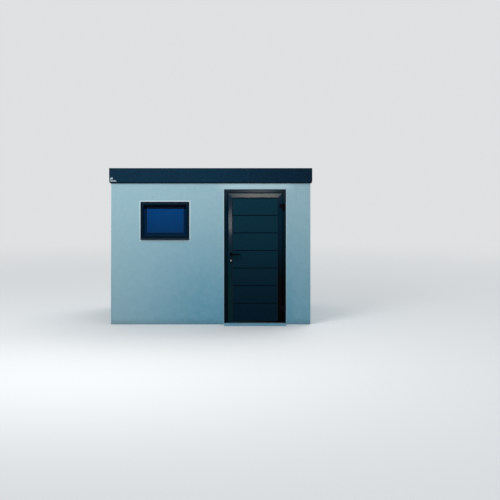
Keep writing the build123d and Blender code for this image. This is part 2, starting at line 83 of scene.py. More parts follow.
class Body(Enum):
    """The bodies that the pieces ride on."""

    SHED = "shed"
    DOOR = "door"


class Slot(Enum):
    """The material slots of the record."""

    RENDER = "render"
    CONCRETE = "concrete"
    ROOF_PANEL = "roof_panel"
    ROOFING = "roofing"
    SHEET_METAL = "sheet_metal"
    DOOR_PAINT = "door_paint"
    DOOR_PANEL = "door_panel"
    WINDOW_PAINT = "window_paint"
    WINDOW_GLASS = "window_glass"
    THRESHOLD_METAL = "threshold_metal"
    SEAL_RUBBER = "seal_rubber"
    HINGE_PAINT = "hinge_paint"
    HANDLE_BLACK = "handle_black"
    LOCK_NICKEL = "lock_nickel"
    LOCK_STEEL = "lock_steel"


class Outline(Enum):
    """The outlines that a soft lamp can have."""

    RECTANGLE = "RECTANGLE"
    ELLIPSE = "ELLIPSE"


class Grain(Enum):
    """The direction that a brushed or drawn metal's marks run in, as stretches of its noise."""

    ALONG_X = (0.02, 1.0, 1.0)
    ALONG_Z = (1.0, 1.0, 0.02)
    ROUND = (1.0, 1.0, 1.0)


def tint(*screen: int) -> Colour:
    """Turn a screen colour into the linear colour that a shader takes.

    Args:
        screen: Red, green and blue as shown on a screen, 0 to 255.

    Returns:
        The same colour in linear parts of 1.
    """
    parts = np.array(screen) / 255
    linear = np.where(parts <= 0.04045, parts / 12.92, ((parts + 0.055) / 1.055) ** 2.4)
    return tuple(linear.tolist())


# Shader maths


class Number:
    """A number socket for Python expressions. Each operator adds one Math node."""

    def __init__(self, board: Board, socket: Socket) -> None:
        """Wrap a socket of a board's tree."""
        self.board = board
        self.socket = socket

    def _math(self, operation: str, *values: Operand) -> Number:
        """Add a Math node with that operation and those inputs, and take its result."""
        node = self.board.node("ShaderNodeMath", {"operation": operation}, dict(enumerate(values)))
        return Number(self.board, node.outputs[0])

    def __add__(self, other: Operand) -> Number:
        """Add."""
        return self._math("ADD", self, other)

    __radd__ = __add__

    def __sub__(self, other: Operand) -> Number:
        """Subtract."""
        return self._math("SUBTRACT", self, other)

    def __rsub__(self, other: Operand) -> Number:
        """Subtract this from a number."""
        return self._math("SUBTRACT", other, self)

    def __mul__(self, other: Operand) -> Number:
        """Multiply."""
        return self._math("MULTIPLY", self, other)

    __rmul__ = __mul__

    def __truediv__(self, other: Operand) -> Number:
        """Divide."""
        return self._math("DIVIDE", self, other)

    def __rtruediv__(self, other: Operand) -> Number:
        """Divide a number by this."""
        return self._math("DIVIDE", other, self)

    def __pow__(self, power: Operand) -> Number:
        """Raise to a power."""
        return self._math("POWER", self, power)

    def __abs__(self) -> Number:
        """Drop the sign."""
        return self._math("ABSOLUTE", self)

    def most(self, other: Operand) -> Number:
        """Take the larger of two values."""
        return self._math("MAXIMUM", self, other)

    def rise(self, low: float, high: float) -> Number:
        """Go smoothly from 0 at low to 1 at high, or from 1 to 0 where high is the smaller.

        Args:
            low: The value at which the result is 0.
            high: The value at which the result is 1.

        Returns:
            A mask from 0 to 1.
        """
        ends = {"Value": self, "From Min": min(low, high), "From Max": max(low, high)}
        ends |= {"To Min": float(low > high), "To Max": float(low < high)}
        node = self.board.node("ShaderNodeMapRange", {"interpolation_type": "SMOOTHSTEP"}, ends)
        return Number(self.board, node.outputs[0])

    def joints(self, pitch: float, edge: float, core: float) -> Number:
        """Mask joints at whole pitches: 1 up to a core's distance from their middle, 0 from an edge's."""
        from_middle = abs(self._math("FLOORED_MODULO", self, pitch) - pitch / 2)
        return from_middle.rise(pitch / 2 - edge, pitch / 2 - core)


Operand = Union[Number, float, int]


class Board:
    """A node tree that nodes are put on."""

    def __init__(self, tree: bpy.types.NodeTree) -> None:
        """Keep the tree."""
        self.tree = tree

    def node(
        self,
        kind: str,
        settings: Mapping[str, Any] | None = None,
        inputs: Mapping[str | int, Any] | None = None,
    ) -> bpy.types.Node:
        """Add a node.

        Args:
            kind: The node's type.
            settings: Its properties, which are set first.
            inputs: Values or links for its sockets, by name or number.

        Returns:
            The node.
        """
        node = self.tree.nodes.new(kind)
        for name, value in (settings or {}).items():
            setattr(node, name, value)
        for key, value in (inputs or {}).items():
            self.feed(node.inputs[key], value)
        return node

    def feed(self, socket: Socket, value: Any) -> None:
        """Link a socket to another, or set its value.

        Args:
            socket: The input socket.
            value: A Number, a socket, a colour or a plain number.
        """
        if isinstance(value, Number):
            value = value.socket
        if isinstance(value, Socket):
            self.tree.links.new(value, socket)
        elif socket.type == "RGBA":
            socket.default_value = (*value, 1.0)
        else:
            socket.default_value = value

    def mix(self, share: Operand, first: Any, second: Any) -> Socket:
        """Mix two colours or colour sockets, with that share of the second."""
        return self.node("ShaderNodeMix", {"data_type": "RGBA"}, {0: share, 6: first, 7: second}).outputs[2]

    def blend(self, share: Number, first: Socket, second: Socket, output: str) -> None:
        """Mix two shaders, with that share of the second, into the output of that name."""
        mixed = self.node("ShaderNodeMixShader", inputs={0: share, 1: first, 2: second})
        self.feed(self.tree.nodes[output].inputs["Surface"], mixed.outputs[0])

    def shown_rays(self) -> Number:
        """Mark the rays that show the background: straight, in gloss or through glass."""
        path, kinds = self.node("ShaderNodeLightPath").outputs, ("Camera", "Glossy", "Transmission")
        return reduce(Number.most, (Number(self, path[f"Is {kind} Ray"]) for kind in kinds))


class Recipe(Board):
    """The nodes of one material round its Principled shader."""

    def __init__(self, name: str) -> None:
        """Start a material.

        Args:
            name: The material's name.
        """
        self.material = bpy.data.materials.new(name)
        self.material.use_nodes = True
        super().__init__(self.material.node_tree)
        self.shader = self.tree.nodes["Principled BSDF"]
        self.place = self.node("ShaderNodeTexCoord").outputs["Object"]
        parts = self.node("ShaderNodeSeparateXYZ", inputs={0: self.place}).outputs
        self.x, self.y, self.z = (Number(self, part) for part in parts)

    def stretched(self, stretch: Corner) -> Socket:
        """Scale the place by a factor for each axis."""
        inputs = {0: self.place, 1: stretch}
        return self.node("ShaderNodeVectorMath", {"operation": "MULTIPLY"}, inputs).outputs[0]

    def noise(
        self, scale: float, detail: float = 3.0, roughness: float = 0.5, stretch: Corner = (1.0, 1.0, 1.0)
    ) -> Number:
        """Cloudy noise around 0.5: scale clouds to a metre, drawn out along an axis of small stretch."""
        inputs = {"Vector": self.stretched(stretch), "Scale": scale, "Detail": detail, "Roughness": roughness}
        return Number(self, self.node("ShaderNodeTexNoise", inputs=inputs).outputs[0])

    def mottle(self, scale: float, detail: float, roughness: float) -> Number:
        """Mask the brighter half of a noise, with soft edges."""
        return self.noise(scale, detail, roughness).rise(0.38, 0.62)

    def grains(self, scale: float) -> Number:
        """Distance from the middle of the nearest of scattered grains, scale of them to a metre."""
        inputs = {"Vector": self.stretched((1.0, 1.0, 1.0)), "Scale": scale}
        return Number(self, self.node("ShaderNodeTexVoronoi", inputs=inputs).outputs[0])

    def facing_up(self) -> Number:
        """Take the upward part of the surface's direction: 1 on a floor, 0 on a wall."""
        normal = self.node("ShaderNodeNewGeometry").outputs["Normal"]
        return Number(self, self.node("ShaderNodeSeparateXYZ", inputs={0: normal}).outputs[2])

    def coats(self, base: Any, *coats: tuple[Operand, Any]) -> Any:
        """Lay colours over each other.

        Args:
            base: The lowest colour.
            coats: Each coat's share and colour, in the order that they are laid.

        Returns:
            The colour that shows.
        """
        for share, colour in coats:
            base = self.mix(share, base, colour)
        return base

    def bump(
        self, height: Number, distance: float, strength: float = 1.0, over: Socket | None = None
    ) -> Socket:
        """Turn a height into a surface direction.

        Args:
            height: The height, from 0 to 1.
            distance: The relief of a height of 1, in metres.
            strength: The share of the effect.
            over: A surface direction that this one is added to.

        Returns:
            The direction's socket.
        """
        inputs = {"Strength": strength, "Distance": distance, "Height": height}
        if over is not None:
            inputs["Normal"] = over
        return self.node("ShaderNodeBump", inputs=inputs).outputs[0]

    def shade(self, **inputs: Any) -> Material:
        """Set or link the shader's sockets.

        Args:
            inputs: Values by the socket's name, with _ for a space.

        Returns:
            The material.
        """
        for name, value in inputs.items():
            self.feed(self.shader.inputs[name.replace("_", " ")], value)
        return self.material


@dataclass(frozen=True)
class Scrape:
    """An oval with a ragged rim, seen from the front, in which a share of the coating is lost."""

    x: float
    z: float
    half_width: float
    half_height: float
    ragged: float = 0.9
    share: float = 1.0

    def mask(self, recipe: Recipe) -> Number:
        """Mask the oval by the distances from its middle, in parts of its half sizes, plus noise.

        Args:
            recipe: The material's nodes.

        Returns:
            The share inside the oval, 0 outside.
        """
        across, along = (recipe.x - self.x) / self.half_width, (recipe.z - self.z) / self.half_height
        reach = (across**2.0 + along**2.0) ** 0.5 + self.ragged * (recipe.noise(90.0, 4.0, 0.7) - 0.5)
        return self.share * reach.rise(1.08, 0.92)


@dataclass(frozen=True)
class PaintedHeadShadow:
    """A painted shadow: the band under a window's head, where the head shades it."""

    low: float
    high: float
    front: float
    back: float
    soft: float = 0.004
    share: float = 0.9
    colour: Colour = tint(0, 4, 9)

    def over(self, recipe: Recipe, tone: Any) -> Socket:
        """Lay the painted shadow over a colour.

        Args:
            recipe: The material's nodes.
            tone: The colour or colour socket under it.

        Returns:
            The colour that shows.
        """
        y, z, soft = recipe.y, recipe.z, self.soft
        level = z.rise(self.low, self.low + soft) * z.rise(self.high + soft, self.high)
        depth = y.rise(self.front, self.front + soft) * y.rise(self.back + soft, self.back)
        return recipe.mix(self.share * level * depth, tone, self.colour)


# Finishes


@dataclass(frozen=True)
class Finish(ABC):
    """What a surface is made of and how it looks, and the record's slot that it belongs to."""

    name: str
    slot: Slot

    @abstractmethod
    def material(self) -> Material:
        """Make the finish's material."""


@dataclass(frozen=True)
class MineralRender(Finish):
    """Fine-grained render outside, smooth paint inside, and splashed dirt low down, with painted
    shade towards the bottom and a painted glow over the door.
    """

    colour: Colour = tint(155, 190, 202)
    # Painted shade: the lower wall darker and bluer.
    painted_low_shade: Colour = tint(99, 162, 188)
    patch: Colour = tint(168, 204, 215)
    # Painted light: a pale glow over the door.
    painted_glow: Colour = tint(187, 217, 225)
    dirt: Colour = tint(88, 112, 120)
    inside: Colour = tint(206, 208, 206)
    room_half: tuple[float, float] = (1.482, 1.018)
    skin: float = 0.003

    def material(self) -> Material:
        """Make the render.

        Returns:
            The material.
        """
        recipe = Recipe(self.name)
        x, y, z = recipe.x, recipe.y, recipe.z
        clouds = recipe.noise(1.6, 5.0, 0.6)
        patches = recipe.noise(9.0, 4.0, 0.65)
        grain = recipe.noise(420.0, 3.0, 0.7)
        # Painted shade: darker and bluer towards the bottom, most from the middle rightwards.
        across = (0.20 + 0.80 * x.rise(-1.6, 0.1)) * (1 - 0.25 * x.rise(1.2, 1.45))
        painted_shade = (z + 0.18 * (clouds - 0.5)).rise(2.3, -0.3) * across
        # Painted light: a pale glow on the wall over the door.
        painted_glow_over_door = x.rise(0.0, 0.35) * x.rise(1.45, 1.15) * z.rise(2.10, 2.22)
        streaks = recipe.noise(9.0, 3.0, 0.6, (1.0, 1.0, 0.05)).rise(0.56, 0.74) * z.rise(1.1, 2.25)
        splash = (z + 0.10 * (recipe.noise(14.0, 5.0, 0.7) - 0.5)).rise(0.12, -0.03)
        mottle = recipe.mottle(26.0, 3.0, 0.7) + recipe.mottle(10.0, 3.0, 0.6)
        weathered = recipe.coats(
            self.colour,
            (painted_shade, self.painted_low_shade),
            (0.16 * patches.rise(0.35, 0.75), self.patch),
            (0.75 * painted_glow_over_door, self.painted_glow),
            (0.07 * streaks + 0.40 * splash + 0.03 * mottle, self.dirt),
        )
        beside, behind = (abs(at).rise(half - self.skin, half) for at, half in zip((x, y), self.room_half))
        relief = recipe.bump(grain, 0.0012, 0.7)
        return recipe.shade(
            Base_Color=recipe.mix(beside.most(behind), self.inside, weathered),
            Roughness=0.86 + 0.1 * grain,
            Specular_IOR_Level=0.25,
            Normal=recipe.bump(recipe.noise(3.0, 2.0), 0.006, 0.4, relief),
        )


@dataclass(frozen=True)
class StopBead(Finish):
    """The pale plastic bead that the render ends against, darker towards the bottom by painted shade."""

    colour: Colour = tint(178, 204, 213)
    # Painted shade low down.
    painted_low_shade: Colour = tint(136, 176, 194)
    wear: float = 0.35
    worn: Colour = tint(128, 158, 168)

    def material(self) -> Material:
        """Make the bead's plastic.

        Returns:
            The material.
        """
        recipe = Recipe(self.name)
        wear = recipe.noise(20.0, 4.0, 0.7)
        # Painted shade: darker towards the bottom.
        tone = recipe.mix(recipe.z.rise(2.0, 0.0), self.colour, self.painted_low_shade)
        return recipe.shade(
            Base_Color=recipe.mix(self.wear * wear.rise(0.4, 0.75), tone, self.worn),
            Roughness=0.5 + 0.3 * wear,
            Specular_IOR_Level=0.3,
        )


@dataclass(frozen=True)
class CoatedSheet(Finish):
    """Folded sheet with a fine orange peel, dust on its top faces, rain marks and scrapes, and
    painted shade towards the right and on the set-back drip.
    """

    colour: Colour = tint(11, 43, 63)
    faded: Colour = tint(12, 38, 55)
    # Painted shade towards the right.
    right: Colour = tint(5, 24, 38)
    band: Colour = tint(20, 60, 88)
    # Painted shade on the set-back drip.
    painted_drip_shade: Colour = tint(0, 12, 20)
    dust: Colour = tint(84, 108, 120)
    bare: Colour = tint(188, 206, 212)
    primer: Colour = tint(140, 160, 166)
    drip: float = 2.258
    scrapes: tuple[Scrape, ...] = ()

    def material(self) -> Material:
        """Make the coated sheet, with its scraped corner where it has one.

        Returns:
            The material.
        """
        recipe = Recipe(self.name)
        clouds = recipe.noise(2.2, 4.0, 0.6)
        streaks = recipe.noise(16.0, 3.0, 0.6, (1.0, 1.0, 0.08))
        bands = recipe.noise(40.0, 5.0, 0.75, (0.25, 1.0, 1.0))
        settled = recipe.facing_up().rise(0.5, 0.95) * recipe.noise(6.0, 5.0, 0.7).rise(0.3, 0.75)
        tone = recipe.coats(
            self.colour,
            (0.35 * clouds.rise(0.35, 0.7), self.faded),
            # Painted shade towards the right.
            (0.65 * recipe.x.rise(-0.15, 1.6), self.right),
            (0.25 * bands.rise(0.36, 0.64), self.band),
            (0.05 * streaks.rise(0.5, 0.8), self.dust),
            # Painted shade on the set-back drip.
            (0.75 * recipe.z.rise(self.drip + 0.024, self.drip + 0.012), self.painted_drip_shade),
            (0.22 * settled, self.dust),
        )
        rough = 0.42 + 0.12 * clouds + 0.3 * settled
        relief = recipe.bump(recipe.noise(700.0, 2.0), 0.0003, 0.5)
        relief = recipe.bump(recipe.noise(1.3, 1.0), 0.004, 0.35, relief)
        if self.scrapes:
            lost = reduce(Number.most, (scrape.mask(recipe) for scrape in self.scrapes))
            under = recipe.mix(recipe.noise(60.0, 3.0).rise(0.4, 0.6), self.bare, self.primer)
            tone = recipe.mix(lost, tone, under)
            rough = rough + 0.2 * lost
            relief = recipe.bump(1 - lost, 0.0008, 1.0, relief)
        return recipe.shade(Base_Color=tone, Roughness=rough, Specular_IOR_Level=0.04, Normal=relief)


@dataclass(frozen=True)
class SatinPaint(Finish):
    """Satin coating on a frame or profile, with faint draw lines, dust low down and light scuffs,
    painted shade towards the bottom and painted light on the upper part.

    Where it is given, sky_lit holds the left end, the middle, the right end and the bottom of the
    stretch that a painted sky light lightens, the outer sky colour is a painted sky reflection on
    what lies in front of outer_depth, and shade_right is the painted shade of the lower right end.
    """

    colour: Colour = tint(10, 33, 46)
    # Painted shade towards the bottom.
    shade: Colour = tint(5, 20, 30)
    dust: Colour = tint(92, 102, 104)
    # Painted light on the upper part.
    painted_top_light: Colour = tint(50, 64, 72)
    # Painted sky light.
    sky: Colour = tint(78, 84, 92)
    roughness: float = 0.22
    specular: float = 0.2
    grain: Corner = (1.0, 1.0, 0.03)
    relief: float = 0.35
    # The share of the painted light on the upper part.
    painted_top_light_share: float = 0.35
    # Painted shadow under a window's head.
    head_shadow: PaintedHeadShadow | None = None
    # Painted shade at the lower right end.
    shade_right: Colour | None = None
    sky_lit: tuple[float, float, float, float] | None = None
    # Painted sky reflection on the outer faces.
    painted_sky_reflection: Colour | None = None
    outer_depth: float = -1.028

    def material(self) -> Material:
        """Make the satin coating.

        Returns:
            The material.
        """
        recipe = Recipe(self.name)
        x, y, z = recipe.x, recipe.y, recipe.z
        clouds = recipe.noise(3.0, 4.0, 0.6)
        drawn = recipe.noise(300.0, 2.0, 0.5, self.grain)
        # Painted shade: darker towards the bottom.
        low = (z + 0.25 * (clouds - 0.5)).rise(1.9, 0.15)
        shade = self.shade
        # Painted shade: the lower right end darker still.
        if self.shade_right:
            right = x.rise(0.3, 1.1)
            shade = recipe.mix(right, shade, self.shade_right)
            low = low.most(right * z.rise(1.8, 0.5))
        # Painted light: the upper part lighter.
        upper = recipe.mix(self.painted_top_light_share * z.rise(1.85, 2.16), self.colour, self.painted_top_light)
        tone = recipe.mix(low, upper, shade)
        # Painted sky light on a stretch of the head.
        if self.sky_lit:
            left, middle, right_end, bottom = self.sky_lit
            across = x.rise(left, middle) * x.rise(right_end, middle)
            tone = recipe.mix(0.9 * across * z.rise(bottom - 0.02, bottom + 0.02), tone, self.sky)
        # Painted sky reflection on the outer faces.
        if self.painted_sky_reflection:
            tone = recipe.mix(0.9 * y.rise(self.outer_depth, self.outer_depth - 0.012), tone, self.painted_sky_reflection)
        scuffs = recipe.noise(38.0, 5.0, 0.75).rise(0.66, 0.76) * z.rise(0.7, 0.05)
        settled = recipe.facing_up().rise(0.5, 0.95)
        tone = recipe.mix(0.07 * scuffs + 0.25 * settled, tone, self.dust)
        # Painted shadow under the head.
        if self.head_shadow:
            tone = self.head_shadow.over(recipe, tone)
        return recipe.shade(
            Base_Color=tone,
            Roughness=self.roughness + 0.06 * clouds + 0.3 * scuffs + 0.3 * settled,
            Specular_IOR_Level=self.specular,
            Normal=recipe.bump(drawn, 0.0002, self.relief),
        )


@dataclass(frozen=True)
class PanelCoat(Finish):
    """The leaf's planks: a matt coat with a fine grain along them, and painted shade in their
    joints, under the top rail and towards the bottom.
    """

    colour: Colour = tint(11, 51, 67)
    # Painted shade towards the bottom.
    shade: Colour = tint(2, 24, 40)
    fleck: Colour = tint(26, 66, 80)
    cloud: Colour = tint(8, 38, 44)
    mottle: Colour = tint(4, 38, 52)
    # Painted shade in the joints and under the top rail.
    painted_groove_shade: Colour = tint(0, 14, 23)
    top: float = 2.026
    pitch: float = 0.282
    pitches_below: int = 20

    def material(self) -> Material:
        """Make the panels' coat.

        Returns:
            The material.
        """
        recipe = Recipe(self.name)
        clouds = recipe.noise(4.0, 5.0, 0.65)
        grain = recipe.noise(240.0, 4.0, 0.65, (0.05, 1.0, 1.0))
        # Painted shade in the joints and a painted shadow under the top rail.
        joint = (recipe.z - (self.top - self.pitches_below * self.pitch)).joints(self.pitch, 0.011, 0.005)
        painted_rail_shadow = recipe.z.rise(self.top - 0.026, self.top - 0.008)
        tone = recipe.coats(
            self.colour,
            # Painted shade towards the bottom.
            ((recipe.z + 0.2 * (clouds - 0.5)).rise(2.0, 0.1), self.shade),
            (0.25 * grain.rise(0.45, 0.75), self.fleck),
            (0.3 * clouds.rise(0.5, 0.75), self.cloud),
            (0.3 * recipe.mottle(26.0, 4.0, 0.7), self.mottle),
            # Painted shade in the joints and under the top rail.
            ((0.9 * joint).most(0.7 * painted_rail_shadow), self.painted_groove_shade),
        )
        return recipe.shade(
            Base_Color=tone,
            Roughness=0.5 + 0.12 * clouds + 0.2 * joint,
            Specular_IOR_Level=0.04,
            Normal=recipe.bump(grain, 0.0006, 0.6),
        )


@dataclass(frozen=True)
class PaintedReflectionPane(Finish):
    """A pane whose deep blue is a painted sky reflection, through which the room shows darkly."""

    # Painted sky reflection.
    colour: Colour = tint(0, 66, 127)
    # Painted shade: the reflection darker low down.
    painted_low_shade: Colour = tint(0, 57, 109)
    mottle: Colour = tint(0, 52, 98)
    dust: Colour = tint(60, 110, 150)
    # Painted shadow under the head.
    head_shadow: PaintedHeadShadow = PaintedHeadShadow(1.844, 1.900, -1.06, -1.04)

    def material(self) -> Material:
        """Make the pane.

        Returns:
            The material.
        """
        recipe = Recipe(self.name)
        clouds = recipe.noise(2.0, 3.0)
        film = recipe.noise(30.0, 5.0, 0.7).rise(0.6, 0.85) * recipe.z.rise(1.75, 1.42)
        tone = recipe.coats(
            self.colour,
            # Painted shade: the reflection darker towards the bottom.
            ((recipe.z + 0.1 * (clouds - 0.5)).rise(1.86, 1.42), self.painted_low_shade),
            (0.2 * recipe.mottle(14.0, 4.0, 0.7), self.mottle),
            (0.04 * film, self.dust),
        )
        return recipe.shade(
            Base_Color=self.head_shadow.over(recipe, tone),
            Roughness=0.04 + 0.12 * film,
            IOR=1.5,
            Specular_IOR_Level=0.02,
            Transmission_Weight=0.07,
        )


@dataclass(frozen=True)
class Roofing(Finish):
    """Rolled roofing with fine granules, dust and the marks of standing water."""

    dark: Colour = tint(46, 50, 54)
    pale: Colour = tint(78, 82, 85)
    dust: Colour = tint(58, 60, 62)
    tide_mark: Colour = tint(122, 124, 122)

    def material(self) -> Material:
        """Make the roofing.

        Returns:
            The material.
        """
        recipe = Recipe(self.name)
        fleck = recipe.noise(260.0, 2.0, 0.6)
        flat = recipe.facing_up().rise(0.7, 0.95)
        wet = recipe.noise(1.3, 3.0, 0.5) + 0.10 * recipe.y
        ponds, tide = wet.rise(0.48, 0.66), abs(wet - 0.56).rise(0.02, 0.002)
        tone = recipe.coats(
            self.dark,
            (fleck.rise(0.35, 0.65), self.pale),
            (0.5 * recipe.noise(5.0, 5.0, 0.7).rise(0.40, 0.72), self.dust),
            ((0.12 * ponds + 0.05 * tide) * flat, self.tide_mark),
        )
        return recipe.shade(
            Base_Color=tone,
            Roughness=0.88 + 0.08 * fleck,
            Specular_IOR_Level=0.2,
            Normal=recipe.bump(recipe.grains(520.0), 0.0012, 0.8),
        )


@dataclass(frozen=True)
class CastConcrete(Finish):
    """Smooth concrete with trowel sweeps, pores and stains, of another shade inside."""

    colour: Colour = tint(98, 160, 190)
    inside: Colour = tint(150, 152, 150)
    blotch: Colour = tint(108, 140, 154)
    sweep: Colour = tint(176, 186, 190)
    pore: Colour = tint(70, 78, 82)
    front: float = -0.99

    def material(self) -> Material:
        """Make the concrete.

        Returns:
            The material.
        """
        recipe = Recipe(self.name)
        sweeps = recipe.noise(5.0, 5.0, 0.6, (1.0, 0.35, 1.0))
        blotches = recipe.noise(2.3, 5.0, 0.6)
        pores = recipe.grains(90.0).rise(0.16, 0.06) * recipe.noise(23.0, 2.0).rise(0.55, 0.7)
        tone = recipe.coats(
            self.colour,
            (recipe.y.rise(self.front, self.front + 0.02), self.inside),
            (0.30 * blotches.rise(0.35, 0.7), self.blotch),
            (0.25 * sweeps.rise(0.4, 0.7), self.sweep),
            (0.6 * pores, self.pore),
        )
        relief = recipe.bump(sweeps - 0.6 * pores, 0.0015, 0.6)
        return recipe.shade(
            Base_Color=tone,
            Roughness=0.72 + 0.16 * blotches,
            Specular_IOR_Level=0.3,
            Normal=recipe.bump(recipe.noise(300.0, 3.0, 0.7), 0.0005, 0.5, relief),
        )


@dataclass(frozen=True)
class BoardCeiling(Finish):
    """The underside of the roof: pale boards that run from front to back."""

    pale: Colour = tint(206, 184, 150)
    warm: Colour = tint(184, 156, 118)
    figure: Colour = tint(168, 136, 98)
    gap: Colour = tint(72, 54, 38)
    board: float = 0.121
    boards_left: int = 40

    def material(self) -> Material:
        """Make the boards.

        Returns:
            The material.
        """
        recipe = Recipe(self.name)
        joint = (recipe.x + self.boards_left * self.board).joints(self.board, 0.003, 0.001)
        fibre = recipe.noise(34.0, 5.0, 0.6, (1.0, 0.06, 1.0))
        figure = recipe.noise(8.0, 3.0, 0.6, (1.0, 0.15, 1.0))
        tone = recipe.coats(
            self.pale,
            (fibre.rise(0.35, 0.7), self.warm),
            (0.4 * figure.rise(0.5, 0.7), self.figure),
            (0.85 * joint, self.gap),
        )
        return recipe.shade(
            Base_Color=tone,
            Roughness=0.55 + 0.2 * fibre,
            Specular_IOR_Level=0.35,
            Normal=recipe.bump(0.3 * fibre - joint, 0.002, 0.7),
        )


@dataclass(frozen=True)
class BareMetal(Finish):
    """Metal without paint, brushed or drawn in one direction, a little scuffed."""

    colour: Colour
    dull: Colour
    roughness: float = 0.3
    grain: Grain = Grain.ALONG_X

    def material(self) -> Material:
        """Make the metal.

        Returns:
            The material.
        """
        recipe = Recipe(self.name)
        lines = recipe.noise(900.0, 3.0, 0.6, self.grain.value)
        scuffs = recipe.noise(26.0, 5.0, 0.75).rise(0.5, 0.72)
        return recipe.shade(
            Base_Color=recipe.mix(0.25 * lines + 0.45 * scuffs, self.colour, self.dull),
            Metallic=1.0,
            Roughness=self.roughness + 0.12 * lines + 0.18 * scuffs,
            Normal=recipe.bump(lines, 0.0002, 0.5),
        )


@dataclass(frozen=True)
class BlackCoat(Finish):
    """Black coating on fittings, rubbed a little lighter where hands and rain reach it."""

    colour: Colour
    rubbed: Colour
    roughness: float = 0.4
    specular: float = 0.12

    def material(self) -> Material:
        """Make the black coating.

        Returns:
            The material.
        """
        recipe = Recipe(self.name)
        rub = recipe.noise(45.0, 5.0, 0.7).rise(0.52, 0.78)
        return recipe.shade(
            Base_Color=recipe.mix(0.35 * rub, self.colour, self.rubbed),
            Roughness=self.roughness - 0.12 * rub,
            Specular_IOR_Level=self.specular,
            Normal=recipe.bump(recipe.noise(1500.0, 2.0), 0.0002, 0.5),
        )


@dataclass(frozen=True)
class Rubber(Finish):
    """Soft black seal with a little dust in its surface."""

    colour: Colour = tint(16, 18, 20)
    dust: Colour = tint(70, 72, 72)

    def material(self) -> Material:
        """Make the rubber.

        Returns:
            The material.
        """
        recipe = Recipe(self.name)
        dusty = recipe.noise(60.0, 5.0, 0.7).rise(0.5, 0.8)
        return recipe.shade(
            Base_Color=recipe.mix(0.4 * dusty, self.colour, self.dust),
            Roughness=0.62 + 0.25 * dusty,
            Specular_IOR_Level=0.25,
            Normal=recipe.bump(recipe.noise(500.0, 3.0), 0.0002, 0.4),
        )


RENDER = MineralRender("mineral_render", Slot.RENDER)
CORNER_BEAD = StopBead("corner_bead", Slot.RENDER)
WINDOW_BEAD = StopBead("window_stop_bead", Slot.RENDER, tint(198, 220, 228), tint(158, 194, 208), 0.12)
DOOR_BEAD = StopBead("door_stop_bead", Slot.RENDER, tint(170, 200, 210), tint(124, 170, 192), 0.12)
SHEET = CoatedSheet("coated_sheet", Slot.SHEET_METAL)
SCRAPED_SHEET = replace(
    SHEET,
    name="coated_sheet_scraped",
    scrapes=(
        Scrape(-1.580, 2.336, 0.018, 0.017),
        Scrape(-1.560, 2.294, 0.058, 0.010),
        Scrape(-1.604, 2.318, 0.012, 0.022, ragged=1.4, share=0.55),
    ),
)
TORN_EDGE = BareMetal("torn_edge", Slot.SHEET_METAL, tint(206, 214, 216), tint(150, 160, 166), 0.4)
# Painted shade towards the bottom and darker still at the lower right, painted light on the upper part and a
# painted sky light on the head.
FRAME_PAINT = SatinPaint(
    "frame_satin",
    Slot.DOOR_PAINT,
    tint(2, 30, 43),
    tint(0, 16, 22),
    specular=0.025,
    shade_right=tint(0, 2, 4),
    sky_lit=(0.26, 0.80, 1.19, 2.09),
)
# Painted shade towards the bottom and darker still at the lower right, and painted light on the upper part.
LEAF_PAINT = SatinPaint(
    "leaf_satin",
    Slot.DOOR_PAINT,
    tint(1, 34, 52),
    tint(6, 36, 39),
    roughness=0.10,
    specular=0.03,
    relief=0.02,
    shade_right=tint(0, 0, 2),
)
RAIL_PAINT = replace(LEAF_PAINT, name="rail_satin", roughness=0.16)
# Painted light on the upper part, painted shade towards the bottom and a painted shadow under the head.
WINDOW_PAINT = SatinPaint(
    "window_satin",
    Slot.WINDOW_PAINT,
    tint(0, 26, 44),
    tint(0, 24, 44),
    specular=0.03,
    painted_top_light_share=1.0,
    head_shadow=PaintedHeadShadow(1.844, 1.911, -1.0915, -1.036),
)
# Its dust colour is a painted sky reflection, laid on faces that look up and on low scuffs, and its outer
# faces get a painted sky reflection too.
SASH_PAINT = replace(
    WINDOW_PAINT,
    name="sash_satin",
    dust=tint(6, 58, 112),
    specular=0.02,
    painted_top_light_share=0.35,
    painted_sky_reflection=tint(0, 36, 70),
)
PANEL = PanelCoat("panel_coat", Slot.DOOR_PANEL)
PANE = PaintedReflectionPane("pane_painted_reflection", Slot.WINDOW_GLASS)
ROOFING = Roofing("roofing", Slot.ROOFING)
CONCRETE = CastConcrete("cast_concrete", Slot.CONCRETE)
CEILING = BoardCeiling("board_ceiling", Slot.ROOF_PANEL)
THRESHOLD = BareMetal(
    "threshold_aluminium", Slot.THRESHOLD_METAL, tint(150, 156, 162), tint(98, 106, 112), 0.34
)
NICKEL = BareMetal(
    "satin_nickel", Slot.LOCK_NICKEL, tint(204, 204, 196), tint(160, 160, 152), 0.22, Grain.ROUND
)
STEEL = BareMetal(
    "brushed_steel", Slot.LOCK_STEEL, tint(186, 190, 192), tint(130, 136, 140), 0.28, Grain.ALONG_Z
)
HINGE_COAT = BlackCoat("hinge_black", Slot.HINGE_PAINT, tint(3, 3, 10), tint(26, 28, 36), specular=0.05)
HANDLE_COAT = BlackCoat("handle_black", Slot.HANDLE_BLACK, tint(1, 2, 12), tint(22, 25, 34), 0.36, 0.04)
# Painted shade: the dark of the keyways' slots.
KEYWAY_SHADE = BlackCoat("keyway_painted_shade", Slot.HANDLE_BLACK, tint(6, 6, 6), tint(14, 14, 14), 0.7)
RUBBER = Rubber("seal_rubber", Slot.SEAL_RUBBER)
SEAL_LIP = Rubber("seal_lip", Slot.SEAL_RUBBER, tint(6, 20, 30))


# Shapes


